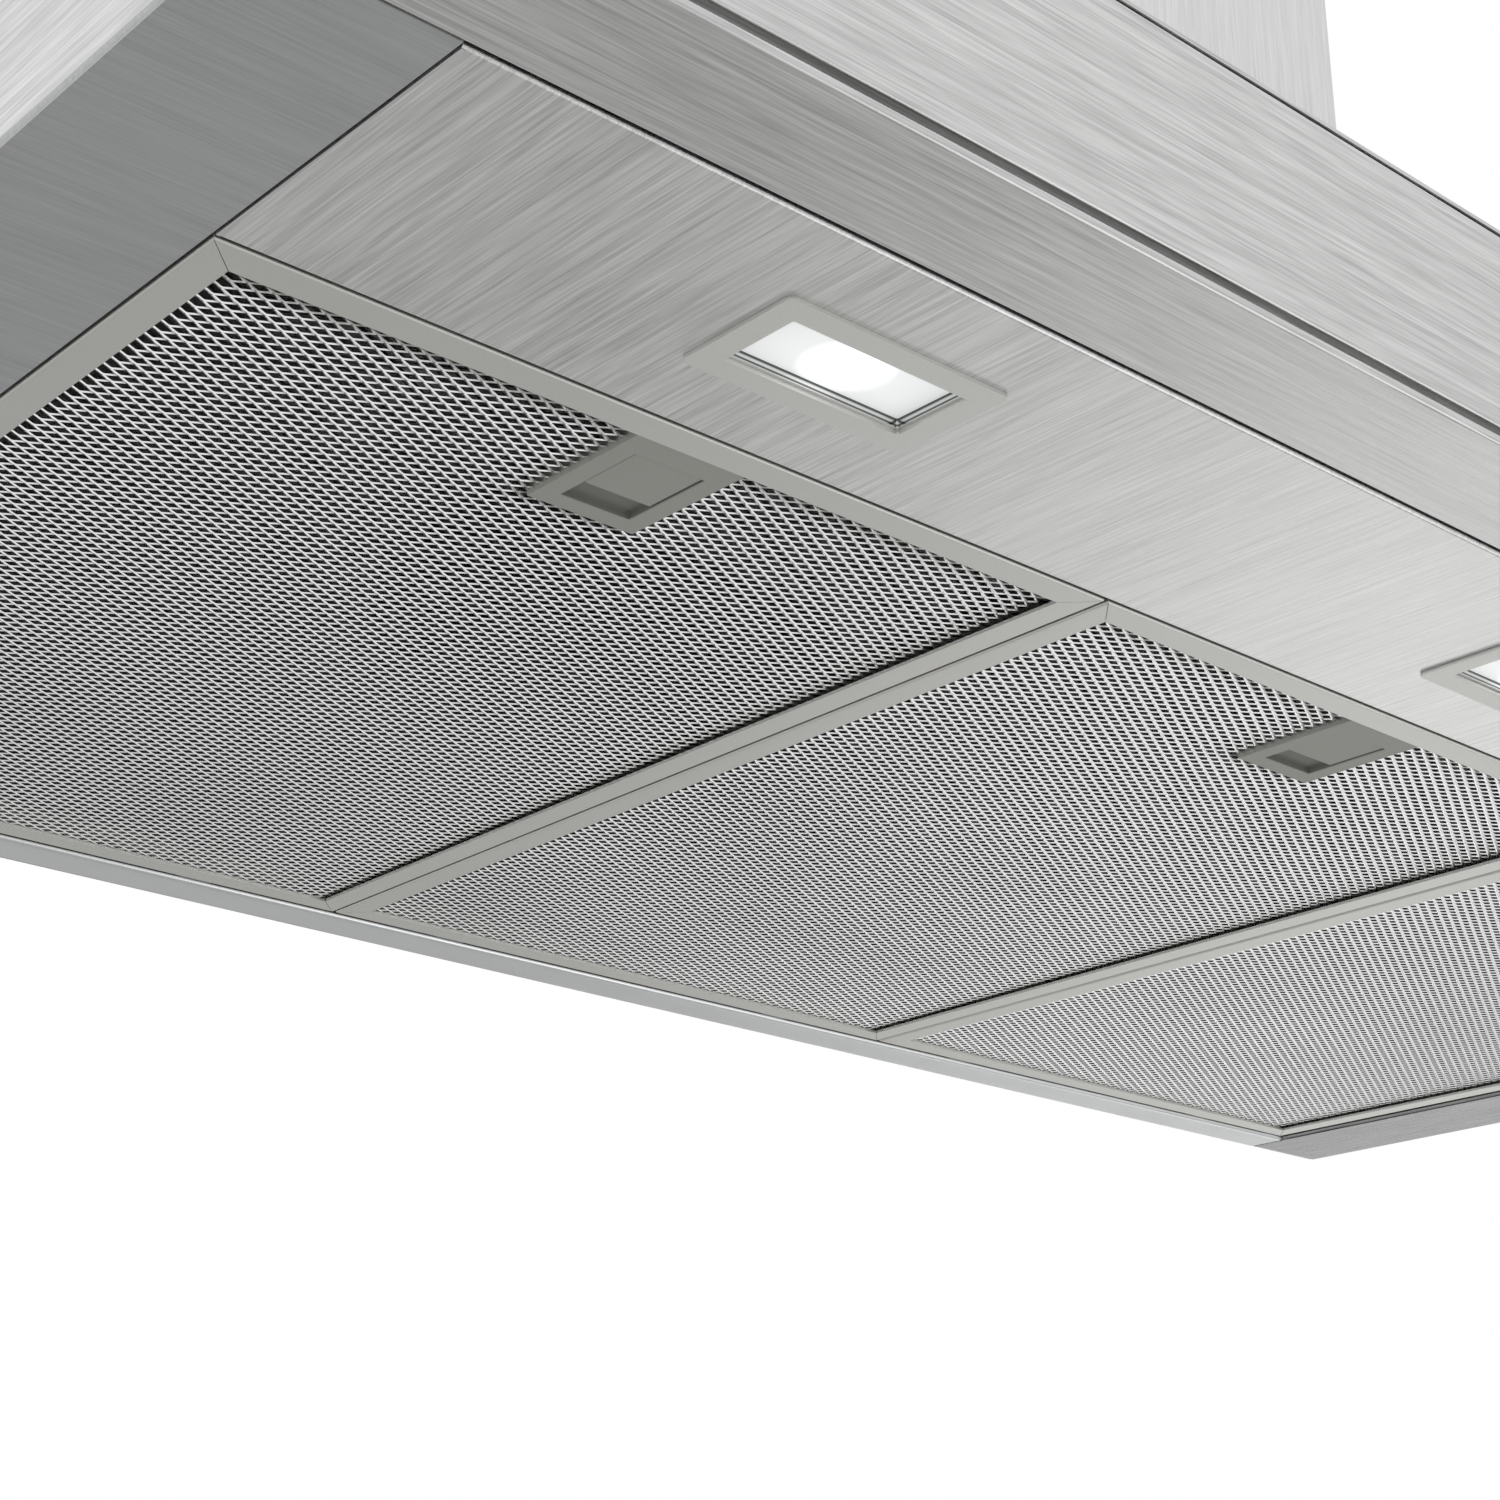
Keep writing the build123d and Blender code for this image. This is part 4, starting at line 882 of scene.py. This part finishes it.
def cut_slot(piece, x, y, settings):
    """Cuts the slot for a latch's tongue through a frame's front rail."""
    middle = UNDERSIDE + settings.slot_bottom + settings.slot_height / 2
    cutter = primitive("cube", "cutter", size=1.0, location=(x, y, middle))
    cutter.scale = (settings.slot_width, 4 * settings.wall, settings.slot_height)
    place_in_mesh(cutter)
    cut(piece, cutter)


def hooks(node, name, rear):
    """The two hooks of a frame, taken from its node behind the rear rail."""
    piece = copied(node, name)
    edit(piece, action="SELECT")
    bpy.ops.mesh.bisect(plane_co=(0.0, rear, 0.0), plane_no=(0.0, 1.0, 0.0), clear_inner=True,
                        use_fill=True)
    close_edit()
    return piece


class HOOD_OT_filter_frames(bpy.types.Operator):
    """Builds the filters' mitred frames with their hooks and latch slots"""

    bl_idname = "hood.filter_frames"
    bl_label = "Filter frames"

    def execute(self, context):
        settings = context.scene.hood_filter
        for name in FILTERS:
            node = f"filter_frame_{name}"
            low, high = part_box(node)
            hooks_start = low.y + settings.depth - 2 * TOUCHING
            piece = mitred_rails(f"{node}_mitred", low, high, settings)
            cut_slot(piece, (low.x + high.x) / 2, low.y, settings)
            join(piece, hooks(node, f"{node}_hooks", hooks_start))
            soften(piece, settings.softening, 1)
            dress(piece, ["frame_aluminium"])
            stand_for(piece, node)
        return {"FINISHED"}


def strand_period(name, pitch, step, settings):
    """One period of a strand, which leans like a slat and sinks from each meeting with the strand in
    front of it to the next with the strand behind it."""
    piece = primitive("circle", name, vertices=3, radius=settings.strand / 2, fill_type="NOTHING")
    wide = Vector((0.0, math.cos(settings.tilt), math.sin(settings.tilt))) * settings.strand
    thick = Vector((0.0, -math.sin(settings.tilt), math.cos(settings.tilt))) * settings.thickness
    climb = wide * (1.0 - settings.overlap)
    rise, run = step / 2 - climb.y, pitch / 2 - settings.bond
    start = Vector((-run / 2, -rise / 2, climb.z / 2)) - (wide + thick) / 2
    for vertex, (along, up) in zip(piece.data.vertices, ((0.0, 0.0), (1.0, 0.0), (0.0, 1.0))):
        vertex.co = start + wide * along + thick * up
    edit(piece, "EDGE", "SELECT")
    bond = (settings.bond, 0.0, 0.0)
    for move in ((run, rise, -climb.z), bond, (run, -rise, climb.z), bond):
        bpy.ops.mesh.extrude_edges_move(TRANSFORM_OT_translate={"value": move})
    bpy.ops.mesh.select_all(action="SELECT")
    bpy.ops.mesh.normals_make_consistent(inside=False)
    close_edit()
    return piece


def expanded_net(name, low, high, pitches, lift, settings):
    """Net of zigzag strands over a window, from its low to its high corner."""
    pitch, step = pitches
    columns = int((high.x - low.x + 2 * settings.tuck - pitch / 2) / pitch)
    rows = int((high.y - low.y + 2 * settings.tuck) / step)
    piece = strand_period(name, pitch, step, settings)
    repeat(piece, columns, (pitch, 0.0, 0.0), use_merge_vertices=True, merge_threshold=TOUCHING)
    repeat(piece, 2, (pitch / 2, step / 2, 0.0))
    repeat(piece, rows, (0.0, step, 0.0))
    piece.location = ((low.x + high.x) / 2 - (columns - 0.5) * pitch / 2 + pitch / 4,
                      (low.y + high.y) / 2 - (rows - 0.5) * step / 2, UNDERSIDE + lift)
    place_in_mesh(piece)
    return piece


def clear_latch(piece, node, margin):
    """Deletes the strands inside a latch's housing."""
    low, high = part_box(node)

    def inside(mesh, face):
        return low.x + margin < face.center.x < high.x - margin and face.center.y < high.y - margin

    edit(piece)
    pick(piece, "FACE", inside)
    bpy.ops.mesh.delete(type="FACE")
    close_edit()


class HOOD_OT_filter_nets(bpy.types.Operator):
    """Builds the filters' expanded nets, a fine one outside and two coarse ones behind it"""

    bl_idname = "hood.filter_nets"
    bl_label = "Filter nets"

    def execute(self, context):
        settings = context.scene.hood_net
        rail, depth = context.scene.hood_filter.rail, context.scene.hood_filter.depth
        layers = (("mesh", (settings.long_pitch, settings.short_pitch), settings.lift),
                  ("core", (settings.core_long_pitch, settings.core_short_pitch), settings.core_lift),
                  ("top", (settings.top_long_pitch, settings.top_short_pitch), settings.top_lift))
        for name in FILTERS:
            low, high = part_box(f"filter_frame_{name}")
            window = (Vector((low.x + rail, low.y + rail, 0.0)),
                      Vector((high.x - rail, low.y + depth - rail, 0.0)))
            outer, core, upper = nets = [
                expanded_net(f"filter_{layer}_{name}_expanded", *window, pitches, lift, settings)
                for layer, pitches, lift in layers]
            for net in nets:
                clear_latch(net, f"latch_housing_{name}", settings.latch_margin)
            join(core, upper)
            # The inner nets get the nearly black painted shade finish.
            for net, node, coat in ((outer, f"filter_mesh_{name}", "net_aluminium"),
                                    (core, f"filter_core_{name}", "inner_net")):
                smooth(net, NET_SMOOTH)
                dress(net, [coat])
                stand_for(net, node)
        return {"FINISHED"}


class HOOD_OT_latches(bpy.types.Operator):
    """Softens the latches' housings and sliders and finishes their springs"""

    bl_idname = "hood.latches"
    bl_label = "Filter latches"

    def execute(self, context):
        plastic = context.scene.hood_plastic
        width = plastic.softening
        for name in FILTERS:
            low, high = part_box(f"latch_housing_{name}")
            middle = (low.x + high.x) / 2

            # Picks the faces inside the finger recess, which get the painted shade colour.
            def recess(normal, centre):
                return int(abs(centre.x - middle) < plastic.recess_half
                           and high.y - plastic.recess_front < centre.y < high.y - plastic.recess_rear
                           and low.z + plastic.recess_start < centre.z < low.z + plastic.recess_depth)

            softened(f"latch_housing_{name}", ["latch_plastic", "recess_plastic"], width,
                     recess)
            softened(f"latch_slider_{name}", ["latch_plastic"], width)
            spring = copied(f"latch_spring_{name}", f"latch_spring_{name}_coil")
            smooth(spring, COIL_SMOOTH)
            dress(spring, ["spring_wire"])
            stand_for(spring, f"latch_spring_{name}")
            low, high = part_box(f"latch_spring_{name}")
            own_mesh(spring)
        return {"FINISHED"}


class HOOD_OT_blower(bpy.types.Operator):
    """Softens the blower's case, wheel, motor and its mounting"""

    bl_idname = "hood.blower"
    bl_label = "Blower and motor"

    def execute(self, context):
        sheet = context.scene.hood_sheet.softening
        plastic = context.scene.hood_plastic.softening
        for side in ("left", "right"):
            softened(f"blower_case_{side}", ["zinc_coated"], sheet)
        softened("impeller", ["zinc_coated"], sheet, segments=1)
        softened("motor_shaft", ["spring_wire"], plastic)
        softened("motor", ["motor_case", "motor_cap"], plastic, faces_aside)
        softened("motor_bracket", ["zinc_coated"], sheet)
        softened("motor_bushes", ["rubber"], plastic)
        softened("motor_capacitor", ["pale_plastic"], plastic)
        return {"FINISHED"}


class HOOD_OT_outlet(bpy.types.Operator):
    """Softens the duct collar and its two flaps"""

    bl_idname = "hood.outlet"
    bl_label = "Duct collar and flaps"

    def execute(self, context):
        width = context.scene.hood_plastic.softening
        for node in ("outlet_collar", "flap_front", "flap_rear"):
            softened(node, ["dark_plastic"], width)
        return {"FINISHED"}


class HOOD_OT_electronics(bpy.types.Operator):
    """Softens the electronics box, its cover, the board and the cable gland"""

    bl_idname = "hood.electronics"
    bl_label = "Electronics"

    def execute(self, context):
        width = context.scene.hood_plastic.softening
        for node in ("electronics_box", "electronics_cover", "cable_gland"):
            softened(node, ["dark_plastic"], width)
        low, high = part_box("control_board")
        board_thickness, left_parts, right_parts = 0.0016, 0.055, 0.050
        face = high.y - board_thickness - HAIR

        def board(normal, centre):
            if centre.y > face:
                return 0
            return 1 if centre.x < low.x + left_parts or centre.x > high.x - right_parts else 2

        softened("control_board", ["circuit_board", "dark_plastic", "relay_blue"],
                 width, board)
        return {"FINISHED"}


class HOOD_OT_chimney(bpy.types.Operator):
    """Softens the two chimney covers and the ceiling bracket"""

    bl_idname = "hood.chimney"
    bl_label = "Chimney"

    def execute(self, context):
        width = context.scene.hood_sheet.softening
        for node in ("lower_chimney", "upper_chimney"):
            softened(node, ["steel_upright"], width)
        softened("ceiling_bracket", ["zinc_coated"], width)
        return {"FINISHED"}


def recess_bar(settings):
    """Tapered bar that cuts half of a screw's cross recess."""
    taper = (0.55, 0.75, 1.0)
    bar = primitive("cube", "bar", size=1.0)
    bar.scale = (settings.recess_length, settings.recess_width, 2 * settings.recess_depth)
    place_in_mesh(bar)
    edit(bar)
    pick(bar, "FACE", lambda mesh, face: face.normal.z < DOWN)
    bpy.ops.transform.resize(value=taper, center_override=(0.0, 0.0, -settings.recess_depth))
    close_edit()
    return bar


def cut_crosses(piece, settings):
    """Cuts a cross recess into the flat end of every screw head."""
    heads = [(face.center.copy(), face.normal.copy()) for face in piece.data.polygons
             if face.area > settings.head_area]
    bar = recess_bar(settings)
    for angle in (45, 135):
        spin = Quaternion((0.0, 0.0, 1.0), math.radians(angle))
        cutters = []
        for centre, normal in heads:
            cutter = add("cutter", bar.data.copy())
            cutter.rotation_euler = (normal.to_track_quat("Z", "Y") @ spin).to_euler()
            cutter.location = centre
            cutters.append(cutter)
        only(cutters[0])
        for cutter in cutters:
            cutter.select_set(True)
        bpy.ops.object.transform_apply(location=True, rotation=True, scale=True)
        bpy.ops.object.join()
        cut(piece, cutters[0])
    bpy.data.objects.remove(bar)


class HOOD_OT_screws(bpy.types.Operator):
    """Rounds the screws' heads and cuts their cross recesses"""

    bl_idname = "hood.screws"
    bl_label = "Screws"

    def execute(self, context):
        settings = context.scene.hood_screw
        for node in ("screws", "chimney_screws"):
            piece = copied(node, f"{node}_recessed")
            cut_crosses(piece, settings)
            soften(piece, settings.softening)
            dress(piece, ["screw_zinc"])
            stand_for(piece, node)
        return {"FINISHED"}


def soft_box(name, place, target, size, power):
    """Wide soft light that looks at a target."""
    light = bpy.data.lights.new(name, "AREA")
    light.shape = "RECTANGLE"
    light.size, light.size_y = size
    light.energy = power
    lamp = add(name, light)
    lamp.location = place
    lamp.rotation_euler = (Vector(target) - Vector(place)).to_track_quat("-Z", "Y").to_euler()
    lamp.visible_camera = False


def room_light(strength):
    """Even white light from the room."""
    world = bpy.data.worlds.new("Room")
    bpy.context.scene.world = world
    world.use_nodes = True
    background = world.node_tree.nodes["Background"]
    background.inputs["Color"].default_value = (1.0, 1.0, 1.0, 1.0)
    background.inputs["Strength"].default_value = strength


def wall_bolts(settings):
    """Grey ends of the wall's bolts behind the rear wall's holes. They show from the room's side only."""
    x, z = settings.bolt_place
    ends = primitive("circle", "wall_bolts", vertices=24, radius=settings.bolt_radius, fill_type="NGON",
                     location=(-x, settings.bolt_gap, -z), rotation=(math.radians(90), 0.0, 0.0))
    place_in_mesh(ends)
    repeat(ends, 2, (2 * x, 0.0, 0.0))
    repeat(ends, 2, (0.0, 0.0, 2 * z))
    paint = Finish("bolt_paint")
    back = paint.value("ShaderNodeNewGeometry", output="Backfacing")
    ends.data.materials.append(paint.surface(base_color=(0.16, 0.16, 0.16), roughness=0.6, alpha=1.0 - back))


class HOOD_OT_stage(bpy.types.Operator):
    """Builds the floor, the light and the camera"""

    bl_idname = "hood.stage"
    bl_label = "Floor, light and camera"

    def execute(self, context):
        scene, settings = context.scene, context.scene.hood_stage
        scene.view_settings.view_transform = "Standard"
        floor = primitive("circle", "floor", vertices=96, radius=settings.floor_radius,
                          fill_type="NGON", location=(0.0, 0.0, settings.floor_height))
        place_in_mesh(floor)
        ground = Finish("floor_paint")
        cloud = ground.noise(1.5, 2.0)
        x, y, _ = ground.axes()
        gone = 1.0
        for middle, radius in ((settings.floor_near, settings.floor_near_radius),
                               (settings.floor_far, settings.floor_far_radius)):
            away = distance(x - middle[0], y - middle[1])
            gone = ground.spread(away, radius - settings.floor_fade, radius) * gone
        floor.data.materials.append(ground.surface(
            base_color=ground.shade(settings.floor, 0.99 + cloud * 0.02), roughness=0.85, alpha=1.0 - gone))
        wall_bolts(settings)
        room_light(settings.sky)
        for name, (place, target, size) in LIGHTS.items():
            soft_box(f"{name}_light", place, target, size, getattr(settings, f"{name}_power"))
        camera_data = bpy.data.cameras.new("camera")
        camera_data.sensor_width = 36.0
        camera_data.lens = settings.lens
        camera_data.clip_end = 100.0
        camera = add("camera", camera_data)
        camera.location = settings.camera_place
        camera.rotation_euler = (math.radians(90) + settings.camera_pitch, 0.0, -settings.camera_turn)
        scene.camera = camera
        return {"FINISHED"}


OPERATORS = (HOOD_OT_canopy, HOOD_OT_underside, HOOD_OT_front, HOOD_OT_lamps, HOOD_OT_filter_frames,
             HOOD_OT_filter_nets, HOOD_OT_latches, HOOD_OT_blower, HOOD_OT_outlet, HOOD_OT_electronics,
             HOOD_OT_chimney, HOOD_OT_screws, HOOD_OT_stage)


class HOOD_PT_pieces(bpy.types.Panel):
    """Lists the hood's sizes, colours and pieces"""

    bl_idname = "HOOD_PT_pieces"
    bl_label = "Range Hood"
    bl_space_type = "VIEW_3D"
    bl_region_type = "UI"
    bl_category = "Range Hood"

    def draw(self, context):
        for name, group in SETTINGS.items():
            box = self.layout.box()
            box.label(text=group.__doc__)
            for key in group.__annotations__:
                box.prop(getattr(context.scene, name), key)
        for operator in OPERATORS:
            self.layout.operator(operator.bl_idname)


def register():
    """Adds the add-on's classes and its settings."""
    for group in SETTINGS.values():
        bpy.utils.register_class(group)
    for operator in OPERATORS:
        bpy.utils.register_class(operator)
    bpy.utils.register_class(HOOD_PT_pieces)
    for name, group in SETTINGS.items():
        setattr(bpy.types.Scene, name, PointerProperty(type=group))


def unregister():
    """Removes the settings and the add-on's classes."""
    for name in SETTINGS:
        delattr(bpy.types.Scene, name)
    bpy.utils.unregister_class(HOOD_PT_pieces)
    for operator in reversed(OPERATORS):
        bpy.utils.unregister_class(operator)
    for group in SETTINGS.values():
        bpy.utils.unregister_class(group)


def main():
    """Builds the whole scene."""
    register()
    for operator in OPERATORS:
        group, name = operator.bl_idname.split(".")
        result = getattr(getattr(bpy.ops, group), name)()
        if result != {"FINISHED"}:
            raise RuntimeError(f"{operator.bl_label} didn't finish")


if __name__ == "__main__":
    main()
